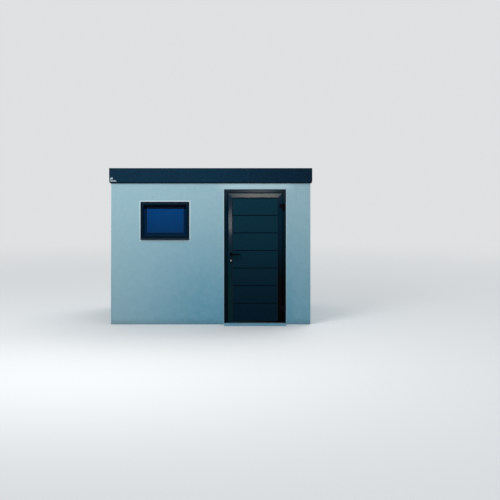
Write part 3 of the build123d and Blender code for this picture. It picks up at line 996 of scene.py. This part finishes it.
@dataclass(frozen=True)
class Shell:
    """A closed surface: its points, and its faces as rows of point numbers."""

    points: Array
    faces: list[list[int]]

    @staticmethod
    def of_grid(grid: Array, joined: bool = False) -> Shell:
        """Close a grid of points whose rows are rings: each row is joined to the next.

        Args:
            grid: Points by row, place in the row and axis.
            joined: Whether the last row is joined to the first; otherwise both are capped.

        Returns:
            The closed surface with its faces outwards: they are turned round where the sum of
            the faces' triple products, six times the enclosed volume, comes out negative. Each
            cap counts there as a fan round its row's middle.
        """
        number = np.arange(grid.shape[0] * grid.shape[1]).reshape(grid.shape[:2])
        after = np.roll(number, -1, axis=0)
        quads = np.stack([number, np.roll(number, -1, axis=1), np.roll(after, -1, axis=1), after], axis=-1)
        faces = (quads if joined else quads[:-1]).reshape(-1, 4).tolist()
        capped = grid - grid.mean(axis=(0, 1))
        if not joined:
            faces += [number[0, ::-1].tolist(), number[-1].tolist()]
            middles = np.broadcast_to(capped.mean(axis=1, keepdims=True), capped.shape)
            capped = np.concatenate([middles[:1], capped, middles[-1:]])
        one, two = capped, np.roll(capped, -1, axis=1)
        four, three = np.roll(one, -1, axis=0), np.roll(two, -1, axis=0)
        size = np.einsum("rpa,rpa->", one, np.cross(two, three) + np.cross(three, four))
        return Shell(grid.reshape(-1, 3), [face[::-1] for face in faces] if size < 0 else faces)

    def __add__(self, other: Shell) -> Shell:
        """Put two surfaces into one."""
        moved = [[number + len(self.points) for number in face] for face in other.faces]
        return Shell(np.vstack([self.points, other.points]), self.faces + moved)


def together(shells: Iterable[Shell]) -> Shell:
    """Put several surfaces into one."""
    first, *others = shells
    return sum(others, first)


def carried(
    path: Sequence[Corner], across: Sequence[Corner], outward: Corner, profile: Profile, joined: bool = False
) -> Shell:
    """Carry a profile along a path with mitred corners.

    A point is the path's point, plus the profile's first number times the across direction
    there, plus its second number times the outward direction.

    Args:
        path: The path's corners.
        across: The profile's first direction at each corner, longer at a mitre.
        outward: The profile's second direction.
        profile: The profile's corners in order.
        joined: Whether the path closes on itself.

    Returns:
        The surface.
    """
    outline = np.array(profile)
    return Shell.of_grid(
        np.array(path)[:, None, :]
        + outline[None, :, :1] * np.array(across)[:, None, :]
        + outline[None, :, 1:] * np.array(outward)[None, None, :],
        joined,
    )


def strip(start: Corner, end: Corner, across: Corner, profile: Profile) -> Shell:
    """Carry a profile straight from one point to another, with its second direction upwards."""
    return carried([start, end], [across, across], (0, 0, 1), profile)


def around_opening(low: Corner, high: Corner, front: float, profile: Profile, sill: bool) -> Shell:
    """Carry a profile round a rectangle in a wall's plane.

    Args:
        low: The opening's lowest corner, whose y isn't used.
        high: The opening's highest corner, whose y isn't used.
        front: The y that the profile's second number counts from, towards -Y.
        profile: Corners as distance into the rectangle, then towards -Y.
        sill: Whether it runs along the bottom too.

    Returns:
        The surface.
    """
    left, bottom, right, top = low[0], low[2], high[0], high[2]
    path = [(left, front, bottom), (left, front, top), (right, front, top), (right, front, bottom)]
    rise = 1 if sill else 0
    across = [(1, 0, rise), (1, 0, -1), (-1, 0, -1), (-1, 0, rise)]
    return carried(path, across, (0, -1, 0), profile, sill)


def both_faces(low: Corner, high: Corner, fronts: tuple[float, float], profile: Profile) -> Shell:
    """Carry a profile round a rectangle on a pane's outer face, and its mirror image on the inner one."""
    mirrored = [(inset, -height) for inset, height in profile]
    return around_opening(low, high, fronts[0], profile, True) + around_opening(
        low, high, fronts[1], mirrored, True
    )


def fillet(leg: float) -> Profile:
    """Outline a hollow sealant joint in a corner, with two legs of one length."""
    return ((0, 0), (0, leg), (leg * 0.35, leg * 0.4), (leg, 0))


def turned(profile: Profile, centre: Corner, axis: Corner, sides: int = 24, ring: bool = False) -> Shell:
    """Turn a profile about an axis.

    A point is the centre, plus its height along the axis, plus its radius times a direction
    square to the axis that goes once round.

    Args:
        profile: Corners as radius, then height along the axis.
        centre: The place of height 0.
        axis: The axis, of length 1.
        sides: Steps once round.
        ring: Whether the profile is closed, which leaves a hole; otherwise its ends are capped.

    Returns:
        The surface.
    """
    line = Vector(axis)
    first = line.orthogonal().normalized()
    second = line.cross(first)
    angle = np.linspace(0, 2 * pi, sides, endpoint=False)[:, None, None]
    radius, height = (np.array(profile)[None, :, place, None] for place in (0, 1))
    spoke = np.cos(angle) * np.array(first) + np.sin(angle) * np.array(second)
    grid = np.array(centre) + height * np.array(line) + radius * spoke
    return Shell.of_grid(grid if ring else grid.swapaxes(0, 1), ring)


def rounded(width: float, height: float, radius: float, steps: int = 5) -> Array:
    """Outline a rectangle with rounded corners.

    Each corner's points stand at one radius from its centre, over a quarter turn.

    Args:
        width: Size across.
        height: Size along.
        radius: Corner radius.
        steps: Points for a corner.

    Returns:
        The outline about its middle, counter-clockwise.
    """
    corner = np.array([[1, 1], [-1, 1], [-1, -1], [1, -1]]) * [width / 2 - radius, height / 2 - radius]
    angle = np.arange(4)[:, None] * pi / 2 + np.linspace(0, pi / 2, steps)[None, :]
    points = corner[:, None, :] + radius * np.stack([np.cos(angle), np.sin(angle)], axis=-1)
    return points.reshape(-1, 2)


def stacked(outline: Array, levels: Profile, centre: Corner, across: Corner, up: Corner) -> Shell:
    """Stack copies of an outline into a plate with a shaped rim.

    A point is the outline's point, moved inwards by the level's inset along the line halfway
    between its neighbours' directions, and raised by the level's height square to the outline.

    Args:
        outline: The outline's points, counter-clockwise.
        levels: Each level's inset and height.
        centre: The place of the outline's middle.
        across: The outline's first direction.
        up: The outline's second direction.

    Returns:
        The surface.
    """
    chord = np.roll(outline, -1, axis=0) - np.roll(outline, 1, axis=0)
    inward = np.stack([-chord[:, 1], chord[:, 0]], axis=-1) / np.linalg.norm(chord, axis=1)[:, None]
    inset, height = (np.array(levels)[:, place, None, None] for place in (0, 1))
    flat = outline[None] + inset * inward[None]
    away = height * np.cross(across, up)
    plate = flat[..., :1] * np.array(across) + flat[..., 1:] * np.array(up)
    return Shell.of_grid(np.array(centre) + plate + away)


def screw(centre: Corner, axis: Corner, radius: float, rise: float = 0.0008) -> Shell:
    """Make a domed screw head with a sunken drive.

    Its profile goes out to the rim, over a low dome and down into a round drive hole.

    Args:
        centre: The middle of the face that it sits on.
        axis: The direction that it faces.
        radius: The head's radius.
        rise: The dome's height.

    Returns:
        The surface.
    """
    share = np.array([[1.0, 0.0], [0.98, 0.55], [0.8, 0.85], [0.5, 1.0], [0.42, 1.0], [0.36, 0.35]])
    return turned((share * [radius, rise]).tolist(), centre, axis, 16)


def plate_screws(node: str, side: int, inset: float, radius: float) -> Shell:
    """Make the two screws of a narrow upright plate that faces one side.

    Args:
        node: The plate's CAD node.
        side: 1 where it faces +X, -1 where it faces -X.
        inset: How far the screws stand from the plate's ends.
        radius: The heads' radius.

    Returns:
        The surface.
    """
    low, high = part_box(node)
    face, middle = (high if side > 0 else low)[0], (low[1] + high[1]) / 2
    levels = (low[2] + inset, high[2] - inset)
    return together(screw((face, middle, level), (side, 0, 0), radius) for level in levels)


# Sub-assemblies


def put_up(name: str, data: Any) -> bpy.types.Object:
    """Put a mesh, a lamp or a camera into the scene.

    Args:
        name: Its name.
        data: Its data.

    Returns:
        The object, at the origin.
    """
    thing = bpy.data.objects.new(name, data)
    bpy.context.scene.collection.objects.link(thing)
    return thing


@dataclass
class Workshop:
    """Holds the frame and puts finishes and pieces on it."""

    frame: dict[str, Any]
    materials: dict[Finish, Material] = field(default_factory=dict)
    painted: set[str] = field(default_factory=set)
    pieces: int = 0
    crease: float = radians(32)

    def material(self, finish: Finish) -> Material:
        """Make a finish's material once."""
        self.materials[finish] = self.materials.get(finish) or finish.material()
        return self.materials[finish]

    def paint(self, finish: Finish, *nodes: str) -> None:
        """Give CAD nodes a finish.

        Args:
            finish: The finish.
            nodes: The nodes' names.
        """
        for name in nodes:
            node = self.frame["nodes"][name]
            if not node.material_slots:
                node.data.materials.append(None)
            for slot in node.material_slots:
                slot.material = self.material(finish)
            self.painted.add(name)

    def fit(self, name: str, shell: Shell, finish: Finish, body: Body = Body.SHED) -> None:
        """Make a piece, finish it and let it ride on a body.

        Args:
            name: The piece's name.
            shell: Its surface.
            finish: Its finish.
            body: The body that it moves with.
        """
        mesh = bpy.data.meshes.new(name)
        mesh.from_pydata(shell.points.tolist(), [], shell.faces)
        mesh.shade_smooth()
        mesh.set_sharp_from_angle(angle=self.crease)
        mesh.materials.append(self.material(finish))
        piece = put_up(name, mesh)
        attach(piece, body.value)
        self.pieces += 1
        log.info("%s: %d faces on %s", name, len(shell.faces), body.value)


@dataclass
class Part(ABC):
    """A part of the shed, with its sizes and with the finishes of its nodes."""

    finishes: ClassVar[Mapping[Finish, Sequence[str]]]
    shop: Workshop

    @abstractmethod
    def build(self) -> None:
        """Make the part's own small pieces."""

    def dress(self) -> None:
        """Give the part's nodes their finishes."""
        for finish, nodes in self.finishes.items():
            self.shop.paint(finish, *nodes)


@dataclass
class Walls(Part):
    """The rendered walls and the floor, with beads along the corners and openings."""

    finishes = {
        RENDER: (
            *("front_wall_left", "front_wall_over_door", "front_wall_right"),
            *("left_wall", "right_wall", "back_wall"),
        ),
        CONCRETE: ("floor_slab", "door_step"),
    }
    corner_leg: float = 0.009
    corner_proud: float = 0.0008
    bottom: float = 0.002
    top: float = 2.258
    stop_width: float = 0.022
    stop_proud: float = 0.0010
    stop_round: float = 0.002
    stop_reveal: float = 0.006
    lip_width: float = 0.006
    lip_proud: float = 0.0018
    lip_depth: float = 0.0078
    sill_level: float = 0.021

    def build(self) -> None:
        """Make the beads along corners and openings, and the lips where they bear on the frames."""
        low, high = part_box("left_wall")[0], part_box("right_wall")[1]
        front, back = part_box("front_wall_left")[0][1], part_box("back_wall")[1][1]
        leg, proud = self.corner_leg, self.corner_proud
        nose = ((proud * 0.4, proud), (proud, proud * 0.4))
        angle = ((-leg, proud), *nose, (proud, -leg), (0, -leg), (0, 0), (-leg, 0))
        corners = []
        for x, side in ((low[0], -1), (high[0], 1)):
            for y, end in ((front, -1), (back, 1)):
                path = [(x, y, self.bottom), (x, y, self.top)]
                corners.append(carried(path, [(side, 0, 0)] * 2, (0, end, 0), angle))
        self.shop.fit("corner_beads", together(corners), CORNER_BEAD)
        window = (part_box("window_sill")[0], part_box("window_frame")[1], front)
        door_low, door_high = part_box("door_head")
        ground, sill = (door_low[0], front, 0.0), (door_low[0], front, self.sill_level)
        bead, lip = self.bead(), self.lip()
        self.shop.fit("window_stop_bead", around_opening(*window, bead, True), WINDOW_BEAD)
        self.shop.fit("door_stop_bead", around_opening(ground, door_high, front, bead, False), DOOR_BEAD)
        self.shop.fit("window_seal_lip", around_opening(*window, lip, False), SEAL_LIP)
        self.shop.fit("door_seal_lip", around_opening(sill, door_high, front, lip, False), SEAL_LIP)

    def bead(self) -> Profile:
        """Outline the stop bead: a flat leg with a rounded edge, and a thin one in the reveal.

        Returns:
            The outline as distance into the opening, then outwards.
        """
        width, lift, edge = self.stop_width, self.stop_proud, 0.0005
        leg = ((-width, 0.0), (-width, lift * 0.6), (-width + self.stop_round, lift), (-lift, lift))
        return (*leg, (edge, lift * 0.4), (edge, -self.stop_reveal), (0, -self.stop_reveal), (0, 0))

    def lip(self) -> Profile:
        """Outline the dark lip: one leg lies on the bead and the other goes back to the frame.

        Returns:
            The outline as distance into the opening, then outwards.
        """
        width, proud, depth = self.lip_width, self.lip_proud, self.lip_depth
        leg = ((-width, 0.0002), (-width, proud * 0.7), (-width * 0.7, proud), (0.0006, proud * 0.7))
        return (*leg, (0.0014, -depth), (0.0004, -depth), (0.0002, 0.0002))


@dataclass
class RoofEdge(Part):
    """The folded sheet round the roof, its seams and its damaged corner."""

    finishes = {
        SCRAPED_SHEET: ("fascia_front",),
        SHEET: ("fascia_back", "fascia_sides", "coping_front", "coping_back", "coping_sides"),
    }
    seam_radius: float = 0.0018
    seam_inset: float = 0.0012
    seam_foot: float = 0.023
    seam_head: float = 0.007
    saddle_width: float = 0.09
    saddle_lift: float = 0.0016
    saddle_depth: float = 0.152
    saddle_drop: float = 0.026
    tear_left: float = -1.616
    tear_length: float = 0.104
    tear_level: float = 2.2865

    def build(self) -> None:
        """Make the corner seams, the back joint's saddle and the torn lip."""
        low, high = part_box("coping_front")[0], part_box("coping_back")[1]
        bottom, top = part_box("fascia_front")[0][2], high[2]
        seam = ((self.seam_radius, 0.0), (self.seam_radius, top - bottom - self.seam_foot - self.seam_head))
        seams = []
        for x in (low[0], high[0]):
            for y in (low[1], high[1]):
                inset_x, inset_y = (np.sign([x, y]) * self.seam_inset).tolist()
                seams.append(turned(seam, (x - inset_x, y - inset_y, bottom + self.seam_foot), (0, 0, 1), 10))
        self.shop.fit("roof_edge_seams", together(seams), SHEET)
        half, lift, depth, drop = self.saddle_width / 2, self.saddle_lift, self.saddle_depth, self.saddle_drop
        ridge = ((0, -drop), (lift, -drop), (lift, lift), (-depth, lift), (-depth, 0), (0, 0))
        saddle = strip((-half, high[1], top), (half, high[1], top), (0, 1, 0), ridge)
        self.shop.fit("coping_saddle", saddle, SHEET)
        self.shop.fit("fascia_burr", self.burr(low[1]), TORN_EDGE)

    def burr(self, front: float) -> Shell:
        """Make the burr of bare metal along the scrape over the drip.

        Its section is a thin curl whose height and lean follow two sines along the scrape, so
        that it stands out most in the middle and lies flat at both ends.

        Args:
            front: The y of the fascia's face.

        Returns:
            The surface.
        """
        along = np.linspace(0, 1, 40)[:, None]
        curl = np.linspace(0, 1, 7)[None, :]
        swell = np.sin(pi * along) ** 0.6 * (0.75 + 0.25 * np.sin(11 * along + 0.6))
        x = self.tear_left + self.tear_length * along + 0 * curl
        y = front - (0.0004 + 0.0030 * swell * np.sin(pi * curl * 0.9))
        z = self.tear_level + 0.0045 * swell * curl + 0.002 * np.sin(5 * along)
        outer, inner = np.stack([x, y, z], axis=-1), np.stack([x, y + 0.0005, z], axis=-1)
        return Shell.of_grid(np.concatenate([outer, inner[:, ::-1]], axis=1))


@dataclass
class Roof(Part):
    """The flat roof: its roofing, laps and outlet."""

    finishes = {ROOFING: ("roof_membrane",), CEILING: ("roof_deck",), SHEET: ("rain_spout",)}
    skin: float = 0.003
    fall: float = 0.030
    roll_width: float = 1.0
    lap_width: float = 0.085
    lap_rise: float = 0.003
    spout_radius: float = 0.0375
    rim_rise: float = 0.0024
    seal_leg: float = 0.006
    collar_step: float = 0.0018
    flange_radius: float = 0.064
    flange_thickness: float = 0.0022

    def build(self) -> None:
        """Make the laps between the rolls, and the outlet's rim, seal and flange."""
        low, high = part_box("roof_deck")
        spout_low, spout_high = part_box("rain_spout")
        half, rise, skin = self.lap_width / 2, self.lap_rise, self.skin
        lap = ((-half, 0.0), (-half, rise * 0.7), (-half + 0.004, rise), (half, 0.0006), (half, 0.0))
        laps = []
        for x in (-self.roll_width / 2, self.roll_width / 2):
            upper, lower = (x, low[1] + skin, high[2] + skin), (x, high[1] - skin, high[2] - self.fall + skin)
            laps.append(strip(upper, lower, (1, 0, 0), lap))
        self.shop.fit("roofing_laps", together(laps), ROOFING)
        x, z = (spout_low[0] + spout_high[0]) / 2, (spout_low[2] + spout_high[2]) / 2
        radius, swell, leg, step = self.spout_radius, self.rim_rise, self.seal_leg, self.collar_step
        rim = ((0.0, -0.007), (swell * 0.75, -0.006), (swell, -0.0035), (swell * 0.75, -0.001), (0.0, 0.0))
        collar = (spout_high[0] - spout_low[0]) / 2
        outer = ((-0.001, 0.0), (leg * 0.6, 0.0), (leg * 0.25, 0.0012), (-0.001, 0.0026))
        inner = ((0.0, step), (leg, step), (leg * 0.4, step + leg * 0.35), (0.0, step + leg))
        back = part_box("fascia_back")[1][1]
        self.shop.fit("spout_rim", self.ring(radius, rim, (x, spout_high[1], z)), SHEET)
        seal = self.ring(collar, outer, (x, back, z)) + self.ring(radius, inner, (x, back, z))
        self.shop.fit("spout_seal", seal, RUBBER)
        self.shop.fit("outlet_flange", self.flange((x, spout_low[1], z)), ROOFING)

    def ring(self, radius: float, profile: Profile, centre: Corner) -> Shell:
        """Turn a closed profile, whose first numbers count from a radius, about the outlet's axis."""
        return turned([(radius + out, along) for out, along in profile], centre, (0, 1, 0), 40, True)

    def flange(self, centre: Corner) -> Shell:
        """Make the flange that joins the outlet to the upturned roofing.

        Its points stand round the outlet at three radii and two thicknesses, from just beside
        the lowest point all the way round to the other side of it; those that would fall
        below the outlet's lowest point are lifted onto the roof's surface.

        Args:
            centre: The middle of the outlet's inner end.

        Returns:
            The surface.
        """
        hole, thickness, rim = self.spout_radius + 0.0002, self.flange_thickness, self.flange_radius
        upper = ((hole, thickness), (rim - 0.004, thickness), (rim, thickness * 0.4))
        section = np.array([(hole, 0.0), *upper, (rim, 0.0)])
        angle = np.radians(np.linspace(-82, 262, 60))[:, None]
        radius, depth = section[None, :, 0], section[None, :, 1]
        x, y = centre[0] + radius * np.cos(angle), centre[1] - depth + 0 * angle
        z = centre[2] + np.maximum(radius * np.sin(angle), -self.spout_radius + 0.0004)
        return Shell.of_grid(np.stack([x, y, z], axis=-1))


@dataclass
class Window(Part):
    """The window: gaskets, joints and drain caps round its CAD profiles."""

    finishes = {
        WINDOW_PAINT: ("window_frame", "window_sill"),
        SASH_PAINT: ("window_sash", "window_bead"),
        PANE: ("window_glass",),
    }
    sash_face: float = 0.042
    gasket_show: float = 0.0045
    gasket_rise: float = 0.003
    joint: float = 0.004
    cap: tuple[float, float, float] = (0.034, 0.008, 0.0035)
    cap_inset: float = 0.15
    cap_level: float = 0.020

    def build(self) -> None:
        """Make the gaskets, the joint to the wall and the drain caps."""
        face, show, rise = self.sash_face, self.gasket_show, self.gasket_rise
        low, high = np.array(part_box("window_sash")) + [[face, 0, face], [-face, 0, -face]]
        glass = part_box("window_glass")
        lip = ((-0.001, 0), (-0.001, rise), (show * 0.5, rise * 0.9), (show, rise * 0.3), (show, 0))
        self.shop.fit("window_gaskets", both_faces(low, high, (glass[0][1], glass[1][1]), lip), RUBBER)
        low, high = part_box("window_frame")
        self.shop.fit("window_joint", around_opening(low, high, low[1], fillet(self.joint), False), RUBBER)
        levels = ((0, -0.0002), (0, 0.0016), (0.0008, 0.0028), (0.002, 0.0032))
        caps = []
        for x in (low[0] + self.cap_inset, high[0] - self.cap_inset):
            place = (x, low[1], low[2] + self.cap_level)
            caps.append(stacked(rounded(*self.cap), levels, place, (1, 0, 0), (0, 0, 1)))
        self.shop.fit("window_drain_caps", together(caps), WINDOW_PAINT)


@dataclass
class Doorway(Part):
    """The door frame: joint to the wall, threshold ribs and the strike plate's screws."""

    finishes = {
        FRAME_PAINT: ("door_jamb_left", "door_jamb_right", "door_head"),
        THRESHOLD: ("door_threshold",),
        RUBBER: ("door_seal",),
        STEEL: ("strike_plate",),
    }
    joint: float = 0.004
    sill_level: float = 0.021
    plate_thickness: float = 0.002
    ribs: int = 6
    rib_rise: float = 0.0008
    rib_foot: float = 0.0022
    rib_crown: float = 0.0012
    rib_end: float = 0.001
    rib_span: tuple[float, float] = (0.008, 0.058)
    screw_inset: float = 0.012
    screw_head: float = 0.0042

    def build(self) -> None:
        """Make the joint, the ribs and the screws."""
        low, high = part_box("door_head")
        sill = (low[0], low[1], self.sill_level)
        joint = around_opening(sill, high, low[1], fillet(self.joint), False)
        self.shop.fit("door_frame_joint", joint, RUBBER)
        low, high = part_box("door_threshold")
        foot, crown, rise = self.rib_foot, self.rib_crown, self.rib_rise
        rib = ((-foot, 0), (-crown, rise), (crown, rise), (foot, 0))
        left, right, level = low[0] + self.rib_end, high[0] - self.rib_end, low[2] + self.plate_thickness
        first, last = self.rib_span
        places = np.linspace(low[1] + first, low[1] + last, self.ribs).tolist()
        ribs = together(strip((left, y, level), (right, y, level), (0, 1, 0), rib) for y in places)
        self.shop.fit("threshold_ribs", ribs, THRESHOLD)
        screws = plate_screws("strike_plate", 1, self.screw_inset, self.screw_head)
        self.shop.fit("strike_screws", screws, STEEL)


@dataclass
class Leaf(Part):
    """The door's leaf: bevelled frame, planks and the gasket round them."""

    finishes = {
        LEAF_PAINT: ("leaf_stile_left", "leaf_stile_right", "leaf_bottom_rail"),
        RAIL_PAINT: ("leaf_top_rail",),
        PANEL: tuple(f"door_plank_{number}" for number in range(1, 8)),
    }
    gasket: float = 0.003
    sunk: float = 0.0003

    def build(self) -> None:
        """Make the gasket round the planks on both faces."""
        low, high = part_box("door_plank_7")[0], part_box("door_plank_1")[1]
        show, sunk = self.gasket, self.sunk
        lip = ((-0.0005, -sunk), (-0.0005, 0.0026), (show * 0.6, 0.0022), (show, 0.0006), (show, -sunk))
        self.shop.fit("leaf_gaskets", both_faces(low, high, (low[1], high[1]), lip), RUBBER, Body.DOOR)


@dataclass
class Hinges(Part):
    """Both hinges, with their screws and the caps on their knuckles."""

    finishes = {HINGE_COAT: ("hinge_brackets", "hinge_leaves")}
    knuckle: float = 0.009
    height: float = 0.109
    stand_off: float = 0.010
    head: float = 0.0042
    frame_inset: float = 0.0175
    leaf_inset: float = 0.020
    frame_levels: tuple[float, ...] = (0.014, 0.0545, 0.095)
    leaf_levels: tuple[float, ...] = (0.058, 0.096)

    def build(self) -> None:
        """Make the screws and caps."""
        low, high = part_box("hinge_brackets")
        frame_x, leaf_x = high[0] - self.frame_inset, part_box("hinge_leaves")[0][0] + self.leaf_inset
        x, y, feet = low[0] + self.knuckle, low[1] + self.knuckle, (low[2], high[2] - self.height)
        edge = ((self.knuckle - 0.0006, 0), (self.knuckle - 0.0012, 0.0014))
        dome = (*edge, (self.knuckle * 0.6, 0.0026), (self.knuckle * 0.2, 0.003))
        caps = together(turned(dome, (x, y, foot), (0, 0, -1), 20) for foot in feet)
        face = y + self.stand_off
        frame_screws = self.screws((frame_x, face), feet, self.frame_levels)
        leaf_screws = self.screws((leaf_x, face), feet, self.leaf_levels)
        self.shop.fit("hinge_frame_screws", frame_screws, HINGE_COAT)
        self.shop.fit("hinge_caps", caps, HINGE_COAT)
        self.shop.fit("hinge_leaf_screws", leaf_screws, HINGE_COAT, Body.DOOR)

    def screws(self, place: tuple[float, float], feet: Sequence[float], levels: Sequence[float]) -> Shell:
        """Make a row of screws at one x and y, at those levels over each hinge's foot."""
        return together(screw((*place, foot + z), (0, -1, 0), self.head) for foot in feet for z in levels)


@dataclass
class Lock(Part):
    """Handle and lock: the plug on both faces with a dark sheet of painted shade for its keyway,
    and the edge plate's screws.
    """

    finishes = {
        HANDLE_COAT: ("door_lever", "handle_plates"),
        NICKEL: ("lock_cylinder",),
        STEEL: ("lock_faceplate",),
    }
    plug_radius: float = 0.0066
    plug_rise: float = 0.0007
    keyway: tuple[float, float, float] = (0.0019, 0.0076, 0.0008)
    keyway_levels: Profile = ((0, 0.0002), (0, 0.00055))
    screw_inset: float = 0.011
    screw_head: float = 0.0040

    def build(self) -> None:
        """Make the plugs, keyways and screws."""
        low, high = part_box("lock_cylinder")
        x, z = (low[0] + high[0]) / 2, high[2] - (high[0] - low[0]) / 2
        radius, rise = self.plug_radius, self.plug_rise
        edge = ((radius, -0.0001), (radius, 0.0004), (radius - 0.0004, rise))
        rim = (*edge, (radius - 0.0016, rise), (radius - 0.0020, 0.0004))
        plugs, keyways = [], []
        for y, outward in ((low[1], -1), (high[1], 1)):
            outline, across = rounded(*self.keyway, 4), (-outward, 0, 0)
            plugs.append(turned(rim, (x, y, z), (0, outward, 0)))
            keyways.append(stacked(outline, self.keyway_levels, (x, y, z), across, (0, 0, 1)))
        self.shop.fit("lock_plugs", together(plugs), NICKEL, Body.DOOR)
        # Painted shade: dark sheets for the keyways' shaded slots.
        self.shop.fit("lock_keyways", together(keyways), KEYWAY_SHADE, Body.DOOR)
        screws = plate_screws("lock_faceplate", -1, self.screw_inset, self.screw_head)
        self.shop.fit("faceplate_screws", screws, STEEL, Body.DOOR)


# Studio


@dataclass(frozen=True)
class Lamp:
    """A soft lamp that shines from one place towards another, on everything or on a few nodes only."""

    name: str
    place: Corner
    target: Corner
    size: tuple[float, float]
    power: float
    colour: Colour = (1.0, 1.0, 1.0)
    only: tuple[str, ...] = ()
    outline: Outline = Outline.RECTANGLE

    def hang(self) -> None:
        """Put the lamp up, and limit it to the nodes that it is meant for, where it names any."""
        light = bpy.data.lights.new(self.name, "AREA")
        light.shape, light.energy, light.color = self.outline.value, self.power, self.colour
        light.size, light.size_y = self.size
        lamp = put_up(self.name, light)
        lamp.location = self.place
        lamp.rotation_euler = (Vector(self.target) - Vector(self.place)).to_track_quat("-Z", "Y").to_euler()
        lamp.visible_camera = False
        if self.only:
            lit = bpy.data.collections.new(self.name)
            for name in self.only:
                lit.objects.link(bpy.data.objects[name])
            lamp.light_linking.receiver_collection = lit


@dataclass(frozen=True)
class Sun:
    """A very soft, far lamp that lights floor and object evenly from one side."""

    name: str
    towards: Corner
    strength: float
    spread: float = 50.0

    def hang(self) -> None:
        """Put the lamp up."""
        light = bpy.data.lights.new(self.name, "SUN")
        light.energy, light.angle = self.strength, radians(self.spread)
        put_up(self.name, light).rotation_euler = Vector(self.towards).to_track_quat("-Z", "Y").to_euler()


STILE_LAMP = Lamp(
    "stile_lamp",
    (2.44, -7.09, 1.365),
    (0.32, -1.09, 1.6),
    (0.45, 0.42),
    43.0,
    (1.0, 0.97, 0.94),
    ("leaf_stile_left",),
)
RAIL_LAMP = Lamp(
    "rail_lamp",
    (0.82, -6.1, 0.25),
    (0.77, -1.09, 2.06),
    (1.10, 0.4),
    165.0,
    (1.0, 0.84, 0.68),
    ("leaf_top_rail",),
    Outline.ELLIPSE,
)


@dataclass
class Studio:
    """A plain pale floor and background, soft light and the photograph's camera."""

    background: Colour = (0.74, 0.75, 0.76)
    floor_colour: Colour = (0.76, 0.77, 0.78)
    floor_bounce: Colour = (0.26, 0.27, 0.28)
    floor_radius: float = 90.0
    floor_sides: int = 96
    floor_drop: float = 0.0005
    fade: tuple[float, float] = (4.0, 20.0)
    ambient: float = 0.60
    ambient_colour: Colour = (0.94, 0.98, 1.0)
    focal: float = 61.2
    sensor: float = 36.0
    sight: float = 400.0
    eye: Corner = (0.628, -14.7, 2.23)
    shift: float = -0.13
    lamps: tuple[Lamp | Sun, ...] = (
        Lamp("key_lamp", (-2.2, -5.6, 5.4), (-0.1, -1.1, 1.7), (2.8, 2.8), 205.0),
        Sun("back_lamp", (-0.4, -0.75, -0.8), 1.1),
        STILE_LAMP,
        RAIL_LAMP,
    )

    def build(self) -> None:
        """Set up floor, world, lamps and camera."""
        self.lay_floor()
        self.set_world()
        for lamp in self.lamps:
            lamp.hang()
        camera = put_up("camera", bpy.data.cameras.new("camera"))
        camera.data.lens, camera.data.shift_y = self.focal, self.shift
        camera.data.sensor_width = camera.data.sensor_height = self.sensor
        camera.data.clip_end = self.sight
        camera.location = self.eye
        camera.rotation_euler = (pi / 2, 0.0, 0.0)
        bpy.context.scene.camera = camera
        bpy.context.scene.view_settings.view_transform = "Standard"

    def lay_floor(self) -> None:
        """Lay the floor: a disc that far out takes the background's colour."""
        angle = np.linspace(0, 2 * pi, self.floor_sides, endpoint=False)
        rim = self.floor_radius * np.stack([np.cos(angle), np.sin(angle), 0 * angle], axis=-1)
        mesh = bpy.data.meshes.new("studio_floor")
        mesh.from_pydata((rim - [0, 0, self.floor_drop]).tolist(), [], [list(range(self.floor_sides))])
        recipe = Recipe("studio_floor")
        colour = recipe.mix(recipe.shown_rays(), self.floor_bounce, self.floor_colour)
        recipe.shade(Base_Color=colour, Roughness=0.9, Specular_IOR_Level=0.1)
        far = ((recipe.x**2.0 + recipe.y**2.0) ** 0.5).rise(*self.fade)
        glow = recipe.node("ShaderNodeEmission", inputs={"Color": self.background, "Strength": 1.0})
        recipe.blend(far, recipe.shader.outputs[0], glow.outputs[0], "Material Output")
        mesh.materials.append(recipe.material)
        put_up("studio_floor", mesh)

    def set_world(self) -> None:
        """Light the scene evenly, and show a pale background to the camera, to gloss and to glass."""
        world = bpy.data.worlds.new("studio")
        world.use_nodes = True
        board = Board(world.node_tree)
        soft = {"Color": self.ambient_colour, "Strength": self.ambient}
        shown = {"Color": self.background, "Strength": 1.0}
        lit, seen = (board.node("ShaderNodeBackground", inputs=inputs).outputs[0] for inputs in (soft, shown))
        board.blend(board.shown_rays(), lit, seen, "World Output")
        bpy.context.scene.world = world


def main() -> None:
    """Load the frame, build and dress every part, and set up the studio."""
    logging.basicConfig(level=logging.INFO, format="%(name)s: %(message)s")
    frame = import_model()
    shop = Workshop(frame)
    for kind in (Walls, RoofEdge, Roof, Window, Doorway, Leaf, Hinges, Lock):
        part = kind(shop)
        part.build()
        part.dress()
    bare = set(frame["nodes"]) - shop.painted
    if bare:
        raise ValueError(f"nodes without a finish: {sorted(bare)}")
    Studio().build()
    log.info("%d pieces, %d finished nodes", shop.pieces, len(shop.painted))


if __name__ == "__main__":
    main()
